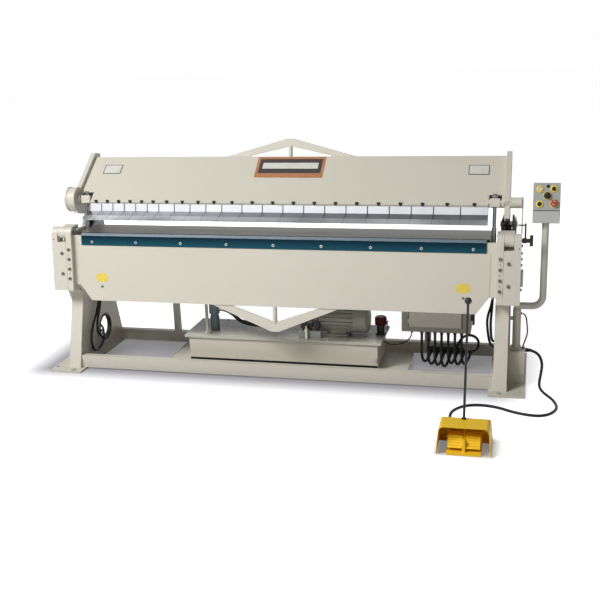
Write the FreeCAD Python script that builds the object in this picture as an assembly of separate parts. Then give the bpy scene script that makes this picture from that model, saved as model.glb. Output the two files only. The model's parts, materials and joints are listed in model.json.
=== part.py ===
import FreeCAD, Part
import math
import os

# Hydraulic box and pan brake: a sheet metal folder with a raised finger beam
# All sizes in millimetres. X runs along the bed, Y runs to the back, Z runs up
# The middle of the four anchor holes on the floor is the origin

V = FreeCAD.Vector
ALONG = V(1, 0, 0)
BACK = V(0, 1, 0)
UP = V(0, 0, 1)
os.makedirs("parts", exist_ok=True)

# Folding length: the finger widths from left to right, in inches
inch = 25.4
finger_inches = [3] * 6 + [4] * 4 + [5] * 10 + [6] * 2
work_length = sum(finger_inches) * inch
half_work = work_length / 2

# Main sizes: the height of the bed, the depth of the feet and the place of the foot switch
bed_z = 866
machine_deep = 740
foot_front = -300
foot_back = foot_front + machine_deep
switch_reach = 777
switch_deep = 187
switch_front = foot_front - switch_reach
switch_back = switch_front + switch_deep

# Side frames
web_gap = 57
web_x = half_work + web_gap
web_thick = 20
flange_wide = 77
flange_thick = 15.7
foot_thick = 12
front_foot_y = foot_front + 56
front_slope = 0.301
rear_foot_y = foot_back - flange_thick
rear_slope = -0.2755
front_cap_z = bed_z - 381
cap_thick = 12
rear_flange_top = bed_z - 416
horn_front = -95
horn_back = 38
horn_top = bed_z + 12
notch_z = bed_z - 166
shelf_z = bed_z - 106
shelf_rib_drop = 90
hose_hole_y = 151
hose_hole_z = 166
hose_hole_r = 88

# Leaf hinge: the front edge of the bed lies on this axis
hinge_y = -142
hinge_pin_r = 15
running = 0.1
small_gap = 0.5

# End blocks of the leaf
block_gap = 5
block_wide = 130
cheek_wide = 36
lug_slot = 56
block_front = 38
block_back = 37
block_drop = 358
slot_drop = 55
bore_cap = 10
leaf_lean = 6

# Upper beam
pivot_y = 235
pivot_z = bed_z + 14
pivot_pin_r = 18
open_angle = 12
finger_back_y = 52
finger_top_z = bed_z + 104
shut_shaft_y = finger_back_y - 51.41
shut_shaft_z = finger_top_z + 26.82
shaft_r = 15

# Clamp links at the two ends of the beam
link_gap = 7
link_block = 47
link_block_wide = 58
link_foot_y = -61.7
link_foot_z = bed_z - 266
link_rod_r = 11
trip_drop = 173

# Places that follow from the sizes above
block_in = web_x + block_gap
block_out = block_in + block_wide
slot_in = block_in + cheek_wide
slot_out = slot_in + lug_slot
foot_in = web_x - 26
foot_out = block_out + 46
web_out = web_x + web_thick
flange_out = web_x + flange_wide
rail_half = web_x
link_in = half_work + link_gap
link_x = link_in + link_block_wide / 2
end_plate_in = block_in + 27
end_plate_out = end_plate_in + 29


# The link shaft with the beam open: its shut place turned about the beam's pivot
open_turn = math.radians(-open_angle)
shut_reach = shut_shaft_y - pivot_y
shut_rise = shut_shaft_z - pivot_z
shaft_y = pivot_y + shut_reach * math.cos(open_turn) - shut_rise * math.sin(open_turn)
shaft_z = pivot_z + shut_reach * math.sin(open_turn) + shut_rise * math.cos(open_turn)


# Shape helpers

def box(x0, x1, y0, y1, z0, z1):
    return Part.makeBox(x1 - x0, y1 - y0, z1 - z0, V(x0, y0, z0))


def rod(start, end, radius):
    a = V(*start)
    run = V(*end) - a
    return Part.makeCylinder(radius, run.Length, a, run)


def prism(points, run):
    wire = Part.makePolygon([V(*p) for p in points] + [V(*points[0])])
    return Part.Face(wire).extrude(run)


def prism_x(points, x0, x1):
    return prism([(x0, y, z) for y, z in points], V(x1 - x0, 0, 0))


def prism_y(points, y0, y1):
    return prism([(x, y0, z) for x, z in points], V(0, y1 - y0, 0))


def prism_z(points, z0, z1):
    return prism([(x, y, z0) for x, y in points], V(0, 0, z1 - z0))


def hexagon(centre, axis, across, height):
    # six flats around an axis that is X, Y or Z
    r = across / math.sqrt(3)
    turns = [math.radians(60 * k + 30) for k in range(6)]
    turns = [(r * math.cos(turn), r * math.sin(turn)) for turn in turns]
    x, y, z = centre
    if axis == ALONG:
        return prism([(x, y + u, z + v) for u, v in turns], V(height, 0, 0))
    if axis == BACK:
        return prism([(x + u, y, z + v) for u, v in turns], V(0, height, 0))
    return prism([(x + u, y + v, z) for u, v in turns], V(0, 0, height))


def ring_corners(centre, direction, radius, sides):
    # the corners of a regular ring that faces a direction, a flat side down
    run = V(direction.x, direction.y, direction.z).normalize()
    side = run.cross(ALONG if abs(run.z) > 0.9 else UP).normalize()
    rise = side.cross(run)
    corners = []
    for k in range(sides):
        turn = 2 * math.pi * (k + 0.5) / sides
        corners.append(centre + side * (radius * math.sin(turn)) - rise * (radius * math.cos(turn)))
    return corners


def bar(start, end, radius, sides=8):
    # a round bar drawn with flat sides, for pieces where nothing turns
    a = V(*start)
    run = V(*end) - a
    corners = ring_corners(a, run, radius, sides)
    return Part.Face(Part.makePolygon(corners + corners[:1])).extrude(run)


def flat_face(corners):
    return Part.Face(Part.makePolygon(corners + corners[:1]))


def stacked(rings):
    # a solid through rings of corners, closed by its first and last ring
    faces = [flat_face(rings[0]), flat_face(rings[-1])]
    for low, high in zip(rings, rings[1:]):
        for k in range(len(low)):
            faces.append(flat_face([low[k - 1], low[k], high[k], high[k - 1]]))
    solid = Part.Solid(Part.Shell(faces))
    return solid if solid.Volume > 0 else solid.reversed()


def taper(start, end, radius_start, radius_end, sides=16):
    a = V(*start)
    b = V(*end)
    return stacked([ring_corners(a, b - a, radius_start, sides), ring_corners(b, b - a, radius_end, sides)])


def even_radius(radius, sides):
    # the corner radius at which flat sides enclose as much as a circle does
    return radius * math.sqrt(2 * math.pi / (sides * math.sin(2 * math.pi / sides)))


def joined(shapes):
    whole = shapes[0]
    for shape in shapes[1:]:
        whole = whole.fuse(shape)
    return whole.removeSplitter()


def cut(shape, tools):
    for tool in tools:
        shape = shape.cut(tool)
    return shape


def mirrored(shape):
    return shape.mirror(V(0, 0, 0), ALONG)


def pair(shape):
    return [shape, mirrored(shape)]


def turned(shape, centre_y, centre_z, degrees):
    copy = shape.copy()
    copy.rotate(V(0, centre_y, centre_z), ALONG, degrees)
    return copy


def leaning(shape):
    # the leaf hangs with its foot a little forward of the hinge
    return turned(shape, hinge_y, bed_z, -leaf_lean)


def raised(shape):
    # beam pieces are drawn with the beam shut, then opened about its pivot
    return turned(shape, pivot_y, pivot_z, -open_angle)


def save(name, shapes):
    solids = []
    for shape in shapes:
        solids.extend(shape.Solids)
    Part.makeCompound(solids).exportStep("parts/" + name + ".step")


def screw_head(centre, head_r, head_h):
    # the head of a cap screw that faces the front
    x, y, z = centre
    return bar((x, y - head_h, z), (x, y, z), head_r, 6)


# Cords: straight runs joined by tangent arcs
cord_sides = 6


def cord(points, radius, label):
    pts = [V(*p) for p in points]
    edges = []
    start = pts[0]
    radii = []
    for a, b, c in zip(pts, pts[1:], pts[2:]):
        into = (b - a).normalize()
        out = (c - b).normalize()
        turn = into.getAngle(out)
        shorter = min((b - a).Length, (c - b).Length)
        setback = 0.45 * shorter
        radii.append(setback / math.tan(turn / 2))
        first = b - into * setback
        last = b + out * setback
        inward = (out - into).normalize()
        to_centre = math.sqrt(radii[-1] ** 2 + setback ** 2)
        middle = b + inward * (to_centre - radii[-1])
        edges.append(Part.makeLine(start, first))
        edges.append(Part.Arc(first, middle, last).toShape())
        start = last
    edges.append(Part.makeLine(start, pts[-1]))
    path = Part.Wire(edges)
    corners = ring_corners(pts[0], pts[1] - pts[0], even_radius(radius, cord_sides), cord_sides)
    ring = Part.makePolygon(corners + corners[:1])
    shell = Part.BRepOffsetAPI.MakePipeShell(path)
    shell.add(ring)
    shell.build()
    shell.makeSolid()
    solid = shell.shape()
    ideal = math.pi * radius ** 2 * path.Length
    print(label, "length", round(path.Length), "tightest radius", round(min(radii)),
          "of diameter", round(2 * radius), "volume ratio", round(solid.Volume / ideal, 3))
    return solid


# Foot plates with their anchor holes
anchor_x = foot_out - 24
anchor_y = 229
anchor_r = 11
level_spots = ((web_out + 14, foot_front + 23), (flange_out + 30, foot_back - 25))
foot = box(foot_in, foot_out, foot_front, foot_back, 0, foot_thick)
for y in (-anchor_y, anchor_y):
    foot = foot.cut(rod((anchor_x, y, -1), (anchor_x, y, foot_thick + 1), anchor_r))
save("foot_plates", pair(foot))


# Side frames: a web with a hose hole, leaning flanges, a front bracket and a shelf for the pivot fork

def front_y(z):
    return front_foot_y + front_slope * (z - foot_thick)


def rear_y(z):
    return rear_foot_y + rear_slope * (z - foot_thick)


web_outline = [
    (front_y(foot_thick) + flange_thick, foot_thick),
    (front_y(front_cap_z) + flange_thick, front_cap_z),
    (horn_front, front_cap_z),
    (horn_front, horn_top),
    (horn_back, horn_top),
    (horn_back, notch_z),
    (pivot_y - 89, notch_z),
    (pivot_y - 89, shelf_z - cap_thick),
    (pivot_y + 68, shelf_z - cap_thick),
    (pivot_y + 68, rear_flange_top),
    (rear_y(foot_thick) - flange_thick, foot_thick),
]
web = prism_x(web_outline, web_x, web_out)
hole_sides = 16
web = web.cut(bar((web_x - 1, hose_hole_y, hose_hole_z), (web_out + 1, hose_hole_y, hose_hole_z), hose_hole_r,
                  hole_sides))
front_flange = prism_x([
    (front_y(foot_thick), foot_thick),
    (front_y(front_cap_z), front_cap_z),
    (front_y(front_cap_z) + flange_thick, front_cap_z),
    (front_y(foot_thick) + flange_thick, foot_thick),
], web_x, flange_out)
rear_flange = prism_x([
    (rear_y(foot_thick) - flange_thick, foot_thick),
    (rear_y(rear_flange_top) - flange_thick, rear_flange_top),
    (rear_y(rear_flange_top), rear_flange_top),
    (rear_y(foot_thick), foot_thick),
], web_x, flange_out)
bracket_out = flange_out + 40
bracket_front = front_y(front_cap_z) - 10
bracket_plate = box(web_out, flange_out + 11, bracket_front, horn_back, front_cap_z, front_cap_z + cap_thick)
wide_plate = box(web_out, bracket_out, bracket_front, horn_back, front_cap_z, front_cap_z + cap_thick)
bracket_rib = prism_y([
    (web_out, front_cap_z),
    (bracket_out, front_cap_z),
    (flange_out, front_cap_z - 145),
    (web_out, front_cap_z - 145),
], bracket_front + 2 * cap_thick, bracket_front + 3 * cap_thick)
fork_out = slot_out + 2
fork_front = pivot_y - 89
fork_back = pivot_y + 68
shelf = box(web_x, fork_out, fork_front, fork_back, shelf_z - cap_thick, shelf_z)
shelf_rib = prism_y([
    (web_out, shelf_z - cap_thick),
    (fork_out, shelf_z - cap_thick),
    (web_out, shelf_z - cap_thick - shelf_rib_drop),
], pivot_y - cap_thick / 2, pivot_y + cap_thick / 2)
side_frame = joined([web, front_flange, rear_flange, bracket_plate, shelf, shelf_rib])
left_frame = joined([mirrored(side_frame), mirrored(wide_plate), mirrored(bracket_rib)])
save("side_frames", [side_frame, left_frame])

# Rubber edging round the hose holes
edging_lip = 5
edging_in = 73
edging = bar((web_x - edging_lip, hose_hole_y, hose_hole_z),
             (web_out + edging_lip, hose_hole_y, hose_hole_z), hose_hole_r + 5, hole_sides)
edging = edging.cut(bar((web_x - 2 * edging_lip, hose_hole_y, hose_hole_z),
                        (web_out + 2 * edging_lip, hose_hole_y, hose_hole_z), edging_in, hole_sides))
groove = bar((web_x, hose_hole_y, hose_hole_z),
             (web_out, hose_hole_y, hose_hole_z), hose_hole_r + 6, hole_sides)
groove = groove.cut(bar((web_x, hose_hole_y, hose_hole_z), (web_out, hose_hole_y, hose_hole_z), hose_hole_r,
                        hole_sides))
save("hose_hole_edging", pair(edging.cut(groove)))

# Base rails: front and rear channels with the tray that carries the oil tank
rail_wall = 6
front_rail_y = -215
rail_deep = 40
rail_top = 90
rear_rail_y = 345
rear_rail_top = 86
tray_half = 763
tray_z = 14
tray_thick = 8


def channel(y0, y1, z0, z1, open_back):
    whole = box(-rail_half, rail_half, y0, y1, z0, z1)
    if open_back:
        hollow = box(-rail_half, rail_half, y0 + rail_wall, y1, z0 + rail_wall, z1 - rail_wall)
    else:
        hollow = box(-rail_half, rail_half, y0, y1 - rail_wall, z0 + rail_wall, z1 - rail_wall)
    return whole.cut(hollow)


front_rail = channel(front_rail_y, front_rail_y + rail_deep, foot_thick, rail_top, True)
rear_rail = channel(rear_rail_y, rear_rail_y + rail_deep, foot_thick, rear_rail_top, True)
tray = box(-tray_half, tray_half, front_rail_y + rail_deep, rear_rail_y, tray_z, tray_z + tray_thick)

# Rear posts that tie the rear rail to the bed beam
post_x = 845
post_wide = 38
post_wall = 4
stay_z = bed_z - 306
post = box(post_x - post_wide / 2, post_x + post_wide / 2, rear_rail_y, rear_rail_y + post_wide,
           rear_rail_top, stay_z + post_wide)
post = post.cut(box(post_x - post_wide / 2 + post_wall, post_x + post_wide / 2 - post_wall,
                    rear_rail_y + post_wall, rear_rail_y + post_wide - post_wall,
                    rear_rail_top, stay_z + post_wide - post_wall))
beam_back = 100
stay = box(post_x - post_wide / 2, post_x + post_wide / 2, beam_back, rear_rail_y, stay_z, stay_z + post_wide)
save("base_rails", [front_rail, rear_rail, tray] + pair(joined([post, stay])))

# Bed beam: a long box of plates under the bed
beam_front = -70
beam_wall = 20
beam_low = bed_z - 330
beam_high = bed_z - 66
beam_half = half_work + 6
beam_end = 20
skin = 12
front_wall = box(-beam_half, beam_half, beam_front, beam_front + beam_wall, beam_low, beam_high)
rear_wall = box(-web_x, web_x, beam_back - beam_wall, beam_back, beam_low + skin, beam_high - skin)
lower = box(-beam_half, beam_half, beam_front, beam_back, beam_low, beam_low + skin)
upper = box(-beam_half, beam_half, beam_front, beam_back, beam_high - skin, beam_high)
bed_parts = [front_wall, rear_wall, lower, upper]
for end in pair(box(beam_half - beam_end, beam_half, beam_front - 22, beam_back, beam_low, beam_high)):
    bed_parts.append(end)
for k in (-1, 0, 1):
    rib_x = k * half_work / 2
    bed_parts.append(box(rib_x - 5, rib_x + 5, beam_front, beam_back, beam_low, beam_high))
save("bed_beam", [joined(bed_parts)])

# Bed bar: the hard steel top with a ground front edge on the hinge axis
bed_half = half_work + 19
bed_back = 112
bed_outline = [
    (hinge_y, bed_z),
    (hinge_y, bed_z - 5),
    (hinge_y + 24, beam_high),
    (bed_back, beam_high),
    (bed_back, bed_z - 3),
    (bed_back - 3, bed_z),
]
save("bed_bar", [prism_x(bed_outline, -bed_half, bed_half)])

# Hinge lugs that reach into the slots of the leaf's end blocks
lug_r = 37
lug_side = 1
lug_foot_front = hinge_y + 42
lug_foot_back = hinge_y + 97
lug = bar((slot_in + lug_side, hinge_y, bed_z), (slot_out - lug_side, hinge_y, bed_z), lug_r, 20)
arm = box(slot_in + lug_side, slot_out - lug_side, hinge_y, lug_foot_back, bed_z - 31, bed_z + 31)
lug_root = box(web_out, slot_out, lug_foot_front, lug_foot_back, bed_z - 86, bed_z + 34)
lug = joined([lug, arm, lug_root])
lug = lug.cut(rod((slot_in - 1, hinge_y, bed_z), (slot_out + 1, hinge_y, bed_z), hinge_pin_r))
save("hinge_lugs", pair(lug))

# Pivot forks of the upper beam, with chamfered shoulders
fork_in = web_x + 11
fork_slot_in = end_plate_in - 4
fork_slot_out = end_plate_out + 13
fork_slot_z = pivot_z - 45
fork_r = 58
fork_side = [
    (fork_front, shelf_z),
    (fork_back, shelf_z),
    (fork_back, pivot_z - 40),
]
for k in range(7):
    turn = math.radians(30 * k)
    fork_side.append((pivot_y + fork_r * math.cos(turn), pivot_z + fork_r * math.sin(turn)))
fork_side.append((fork_front, pivot_z - 40))
fork = prism_x(fork_side, fork_in, fork_out)
fork = fork.cut(box(fork_slot_in, fork_slot_out, fork_front - 1, fork_back + 1,
                    fork_slot_z, pivot_z + fork_r + 1))
shoulder = prism_y([
    (fork_in, shelf_z),
    (fork_in, pivot_z + 20),
    (fork_slot_in - 5, pivot_z + fork_r + 1),
    (fork_slot_out + 5, pivot_z + fork_r + 1),
    (fork_out, pivot_z + 20),
    (fork_out, shelf_z),
], fork_front - 1, fork_back + 1)
fork = fork.common(shoulder)
fork = fork.cut(rod((fork_in - 1, pivot_y, pivot_z), (fork_out + 1, pivot_y, pivot_z), pivot_pin_r))
save("pivot_forks", pair(fork))

# Closing stops: a black block in each fork, a stop button on top and a set screw facing the front
stop_front = fork_front + 4
stop_back = pivot_y - 49
arm_low = pivot_z + 28
stop_top = arm_low - 15
stop_mid_x = (end_plate_in + end_plate_out) / 2 + 5
stop_mid_y = (stop_front + stop_back) / 2
stop_block = box(end_plate_in, fork_slot_out - 2, stop_front, stop_back, fork_slot_z, stop_top)
stop_button = bar((stop_mid_x - 5, stop_mid_y, stop_top), (stop_mid_x - 5, stop_mid_y, arm_low - 1), 12)
stop_screw = bar((stop_mid_x, stop_front - 12, stop_top - 26),
                 (stop_mid_x, stop_front, stop_top - 26), 19, 12)
save("closing_stops", pair(joined([stop_block, stop_button, stop_screw])))

# Frame fittings: hinge pins, beam pivot pins, link trunnions, levelling screws and the hose ports
link_pin_r = 9
pins = [
    rod((block_in + 1, hinge_y, bed_z), (block_out - bore_cap - 1, hinge_y, bed_z), hinge_pin_r),
    rod((fork_in - 6, pivot_y, pivot_z), (fork_out + 6, pivot_y, pivot_z), pivot_pin_r),
    bar((beam_half, link_foot_y, link_foot_z), (web_x, link_foot_y, link_foot_z), link_pin_r, 12),
]
for x, y in level_spots:
    pins.append(hexagon((x, y, foot_thick), UP, 24, 9))
port_x = web_x - 22
port_low = beam_low - 36
for y in (62, 92):
    port = box(web_x - 44, web_x, y - 12, y + 12, port_low + 14, port_low + 44)
    pins.append(port.fuse(hexagon((port_x, y, port_low), UP, 24, 14)))
pins += [mirrored(pin) for pin in pins]
save("frame_fittings", pins)

# Junction box outside the right leg
case_in = flange_out + 4
case_out = block_out + 36
case_front = -100
case_back = -6
case_top = 206
case = box(case_in, case_out, case_front, case_back, foot_thick, case_top)
case = case.cut(box(case_in + 3, case_out - 3, case_front - 1, case_back - 3, foot_thick + 3, case_top - 3))
case_lid = box(case_in, case_out, case_front - 3, case_front, foot_thick, case_top)
lid_face = [box(case_in + 8, case_out - 8, case_front - 5, case_front - 3, 70, case_top - 6)]
for x in (case_in + 6, case_out - 6):
    for z in (foot_thick + 10, 62):
        lid_face.append(hexagon((x, case_front - 6, z), BACK, 8, 3))
save("junction_box", [joined([case, case_lid] + lid_face)])

# Post of the pendant arm: a tube on the junction box, clamped to the leg, with a bore for the arm
post_mid_x = flange_out + 43
post_mid_y = -45
post_r = 23
post_bore = 17
post_base = case_top + 10
post_top = front_cap_z - 45
pillar = bar((post_mid_x, post_mid_y, case_top), (post_mid_x, post_mid_y, post_top), post_r, 20)
plinth = box(post_mid_x - 32, post_mid_x + 26, post_mid_y - 30, post_mid_y + 30, case_top, post_base)
clasp = box(web_out, post_mid_x, post_mid_y - 6, post_mid_y + 6, post_top - 60, post_top - 40)
arm_post = joined([pillar, plinth, clasp])
for x in (post_mid_x - 27, post_mid_x + 21):
    for y in (post_mid_y - 25, post_mid_y + 25):
        arm_post = arm_post.fuse(box(x - 4, x + 4, y - 4, y + 4, post_base, post_base + 4))
arm_post = arm_post.cut(rod((post_mid_x, post_mid_y, post_top - 110), (post_mid_x, post_mid_y, post_top + 1),
                            post_bore + running))
save("pendant_post", [arm_post.removeSplitter()])

# Leaf plate with its hanging truss
leaf_front = -9
leaf_back = 14
leaf_top = -75
leaf_low = -419
leaf_corner = -322
plate_half = half_work + 26
corner_half = half_work - 47
hy = hinge_y
hz = bed_z
leaf_plate = prism_y([
    (-plate_half, hz + leaf_top),
    (plate_half, hz + leaf_top),
    (plate_half, hz + leaf_corner),
    (corner_half, hz + leaf_low),
    (-corner_half, hz + leaf_low),
    (-plate_half, hz + leaf_corner),
], hy + leaf_front, hy + leaf_back)
truss_half = 391
truss_inner = 271
truss_drop = 152
truss_inner_drop = 95
truss_flat = 22
truss = prism_y([
    (-truss_half, hz + leaf_low),
    (-truss_flat, hz + leaf_low - truss_drop),
    (truss_flat, hz + leaf_low - truss_drop),
    (truss_half, hz + leaf_low),
    (truss_inner, hz + leaf_low),
    (0, hz + leaf_low - truss_inner_drop),
    (-truss_inner, hz + leaf_low),
], hy - 2, hy + 10)
truss_post = bar((0, hy + 4, hz + leaf_low - truss_inner_drop - 5), (0, hy + 4, hz + leaf_low), 13)
save("leaf_plate", [leaning(joined([leaf_plate, truss, truss_post]))])

# Folding bar: the steel edge that lifts the sheet, and the blue strip on its front
strip_front = -14
strip_back = -6
strip_top = -16
strip_low = -73
strip_half = half_work + 4
fold_edge = prism_x([
    (hy - 0.8, hz - small_gap),
    (hy - 8, hz - small_gap),
    (hy + strip_front, hz + strip_top),
    (hy + strip_back, hz + strip_top),
    (hy + strip_back, hz + strip_low - 2),
    (hy + 6, hz + strip_low - 2),
    (hy + 6, hz - 30),
    (hy - 0.8, hz + strip_top),
], -strip_half, strip_half)
save("folding_bar", [leaning(fold_edge)])
strip = box(-strip_half, strip_half, hy + strip_front, hy + strip_back, hz + strip_low, hz + strip_top)
save("folding_strip", [leaning(strip)])

# End blocks with a rounded head, a slot for the lug and the flanges that join the leaf plate
block_side = [(hy - block_front, hz - block_drop), (hy + block_back, hz - block_drop)]
for k in range(9):
    turn = math.radians(22.5 * k)
    block_side.append((hy + block_back * math.cos(turn), hz + block_back * math.sin(turn)))
block_side.append((hy - block_front, hz))
end_block = prism_x(block_side, block_in, block_out)
end_block = end_block.cut(box(slot_in, slot_out, hy - 60, hy + 60, hz - slot_drop, hz + 60))
end_block = end_block.cut(rod((block_in - 1, hy, hz), (block_out - bore_cap, hy, hz), hinge_pin_r + running))
seam = box(slot_in - 1, slot_in + 1, hy - block_front - 1, hy - block_front + 1.5, hz - block_drop - 1,
           hz - slot_drop + 5)
end_block = end_block.cut(seam)
side_flange = box(plate_half, block_in, hy - 7, hy + 12, hz + leaf_corner, hz + leaf_top)
top_flange = box(strip_half, block_in, hy - 8, hy - 1.5, hz + leaf_top, hz + strip_top + 2)
end_block = joined([end_block, side_flange, top_flange])
stub_r = 8
stub_out = block_out + 13
stub = rod((block_out, hy, hz), (stub_out, hy, hz), stub_r)
save("end_blocks", [leaning(joined([end_block, stub])), leaning(mirrored(end_block))])

# Leaf screws: the strip's row, the block bolts and the bolts on the outer faces
screws = []
strip_pitch = strip_half * 2 / 8.5
strip_row = 53
for k in range(-4, 5):
    screws.append(screw_head((k * strip_pitch, hy + strip_front, hz - strip_row), 8, 5))
bolt_x = block_in + 19
for k in range(4):
    screws += pair(screw_head((bolt_x, hy - block_front, hz - 102 - 60 * k), 9.5, 6))
for drop in (126, 252):
    screws += pair(screw_head((slot_in + 29, hy - block_front, hz - drop), 9.5, 6))
screws += pair(screw_head((half_work - 122, hy + leaf_front, hz - 321), 7, 4))
for drop in (27, 68, 100, 133, 271):
    screws += pair(hexagon((block_out, hy - 20, hz - drop), ALONG, 16, 8))
save("leaf_screws", [leaning(shape) for shape in screws])
switch_case = box(block_out, block_out + 14, hy - 32, hy - 2, hz - 252, hz - 166)
switch_case = switch_case.fuse(bar((block_out + 7, hy - 17, hz - 166), (block_out + 7, hy - 17, hz - 156), 5))
save("leaf_switch", [leaning(switch_case)])

# Angle stop on the right end of the hinge: arm with pin, and its lock knob
stop_arm_x = block_out + 2
stop_arm_reach = 96
stop_pin_z = 86
knob_x = stop_arm_x + 24
hub = bar((stop_arm_x, hy, hz), (knob_x, hy, hz), 15, 12)
stop_rod = bar((stop_arm_x + 16, hy, hz + 12), (stop_arm_x + 16, hy, hz + stop_arm_reach), 5)
stop_pin = bar((block_out - 22, hy, hz + stop_pin_z), (stop_arm_x + 16, hy, hz + stop_pin_z), 4)
stop_arm = joined([hub, stop_rod, stop_pin])
stop_arm = stop_arm.cut(rod((stop_arm_x - 1, hy, hz), (knob_x + 1, hy, hz), stub_r + running))
save("stop_arm", [stop_arm])
knob_shaft = rod((stub_out + 1, hy, hz), (knob_x + 12, hy, hz), stub_r)
knob_collar = bar((knob_x + 0.5, hy, hz), (knob_x + 16, hy, hz), 12)
knob_outline = []
for k in range(24):
    turn = math.radians(15 * k)
    lobe_r = 26.5 if k % 3 == 0 else 31
    knob_outline.append((hy + lobe_r * math.cos(turn), hz + lobe_r * math.sin(turn)))
knob_head = prism_x(knob_outline, knob_x + 16, knob_x + 34)
save("stop_knob", [joined([knob_shaft, knob_collar, knob_head])])

# Fingers: clamped blocks with a long nose, drawn with the nose on the bed
nose_y = hinge_y + 3
nose_z = bed_z + 1
finger_face_y = finger_back_y - 77
face_low_z = finger_top_z - 43
seam_gap = 0.6
finger_outline = [
    (nose_y, nose_z),
    (nose_y, nose_z + 2),
    (nose_y + 56, nose_z + 30),
    (finger_face_y, face_low_z),
    (finger_face_y, finger_top_z),
    (finger_back_y, finger_top_z),
    (finger_back_y, nose_z + 40),
    (finger_back_y - 40, nose_z),
]
fingers = []
finger_middles = []
edge = -half_work
for inches in finger_inches:
    step = inches * inch
    fingers.append(raised(prism_x(finger_outline, edge + seam_gap / 2, edge + step - seam_gap / 2)))
    finger_middles.append(edge + step / 2)
    edge += step
save("fingers", fingers)

# Beam shell: a long three-sided box over the fingers, notched for the clamp links and screws
skin_angle = math.radians(48.8)
skin_long = 394
skin_low_y = finger_face_y - 1
skin_low_z = finger_top_z + 10
skin_top_y = skin_low_y + skin_long * math.cos(skin_angle)
skin_top_z = skin_low_z + skin_long * math.sin(skin_angle)
shell_half = end_plate_in
outer = [
    (skin_low_y, skin_low_z),
    (skin_top_y, skin_top_z),
    (skin_top_y + 26, skin_top_z - 12),
    (finger_back_y + 110, finger_top_z + 1),
    (skin_low_y + 8, finger_top_z + 1),
]
inner = [
    (skin_low_y + 34, skin_low_z + 11),
    (skin_top_y + 6, skin_top_z - 27),
    (skin_top_y + 10, skin_top_z - 30),
    (finger_back_y + 96, finger_top_z + 21),
]
shell = prism_x(outer, -shell_half, shell_half)
hollow_ends = [-shell_half, -half_work / 2 - 5, -half_work / 2 + 5]
hollow_ends += [half_work / 2 - 5, half_work / 2 + 5, shell_half]
for x0, x1 in zip(hollow_ends[0::2], hollow_ends[1::2]):
    shell = shell.cut(prism_x(inner, x0, x1))
notch_in = link_in - 5
notch_out = link_in + link_block_wide + 8
notch_box = (skin_low_y - 40, shut_shaft_y + 44, skin_low_z - 20, shut_shaft_z + 44)
for notch in pair(box(notch_in, shell_half + 1, *notch_box)):
    shell = shell.cut(notch)
shaft_bracket = prism_x(outer, notch_out, shell_half).common(box(notch_out, shell_half, *notch_box))
screw_z = finger_top_z + 13
pocket_r = 11
for x in finger_middles:
    shell = shell.cut(bar((x, skin_low_y - 5, screw_z), (x, skin_low_y + 16, screw_z), pocket_r, 6))
save("beam_shell", [raised(shell)])

# Finger screws in their pockets
save("finger_screws", [raised(screw_head((x, skin_low_y + 15, screw_z), 9, 14)) for x in finger_middles])

# Beam truss: a bent bar and a post that stiffen the top of the beam
peak = 109
ridge_half = 423
ridge_inner = 256
ridge_y = skin_top_y + 2
ridge = prism_y([
    (-ridge_half, skin_top_z - 8),
    (-ridge_half, skin_top_z - 2),
    (-25, skin_top_z + peak),
    (25, skin_top_z + peak),
    (ridge_half, skin_top_z - 2),
    (ridge_half, skin_top_z - 8),
    (ridge_inner, skin_top_z - 8),
    (ridge_inner, skin_top_z + 5),
    (0, skin_top_z + peak - 45),
    (-ridge_inner, skin_top_z + 5),
    (-ridge_inner, skin_top_z - 8),
], ridge_y, ridge_y + 12)
ridge_post = bar((0, ridge_y + 6, skin_top_z - 5), (0, ridge_y + 6, skin_top_z + peak - 45), 13)
beam_truss = joined([ridge, ridge_post]).cut(prism_x(outer, -shell_half, shell_half))
save("beam_truss", [raised(beam_truss)])

# End plates of the beam: they carry it on the rear pivot, with a hub on the left and a tube on the right
proud = 23
normal_y = -math.sin(skin_angle) * proud
normal_z = math.cos(skin_angle) * proud
plate_low_y = -20
pivot_boss_r = 45
end_outline = [
    (plate_low_y, arm_low),
    (pivot_y, arm_low),
    (pivot_y + pivot_boss_r, pivot_z),
    (pivot_y + pivot_boss_r + 22, skin_top_z - 60),
    (skin_top_y + 62, skin_top_z + 27),
    (skin_top_y + normal_y + 11, skin_top_z + 27),
    (skin_low_y + normal_y + 8, skin_low_z + normal_z + 9),
    (plate_low_y, skin_low_z),
]
end_plate = prism_x(end_outline, end_plate_in, end_plate_out)
end_plate = end_plate.fuse(bar((end_plate_in, pivot_y, pivot_z),
                               (end_plate_out, pivot_y, pivot_z), pivot_boss_r, 24))
end_plate = end_plate.cut(rod((end_plate_in - 1, pivot_y, pivot_z), (end_plate_out + 1, pivot_y, pivot_z),
                              pivot_pin_r + running))
sy = shut_shaft_y
sz = shut_shaft_z
tube_r = 30.5
tube_out = block_out - 7
hub_r = 78
hub_out = block_in + 95
boss = joined([shaft_bracket, bar((notch_out, sy, sz), (end_plate_in, sy, sz), tube_r, 16)])
right_tube = bar((end_plate_out, sy, sz), (tube_out, sy, sz), tube_r, 24)
hub_sides = 24
left_hub = joined([
    bar((-end_plate_in, sy, sz), (-hub_out + 16, sy, sz), hub_r - 3, hub_sides),
    bar((-hub_out + 16, sy, sz), (-hub_out + 6, sy, sz), hub_r, hub_sides),
    taper((-hub_out + 6, sy, sz), (-hub_out, sy, sz), hub_r, hub_r - 6, hub_sides),
])
right_end = joined([end_plate, boss, right_tube])
left_end = joined([mirrored(end_plate), mirrored(boss), left_hub])
save("end_plates", [raised(right_end), raised(left_end)])

# Short shafts that carry the clamp links
shaft = rod((link_in - 4, sy, sz), (notch_out, sy, sz), shaft_r)
save("link_shafts", [raised(shape) for shape in pair(shaft)])

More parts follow.
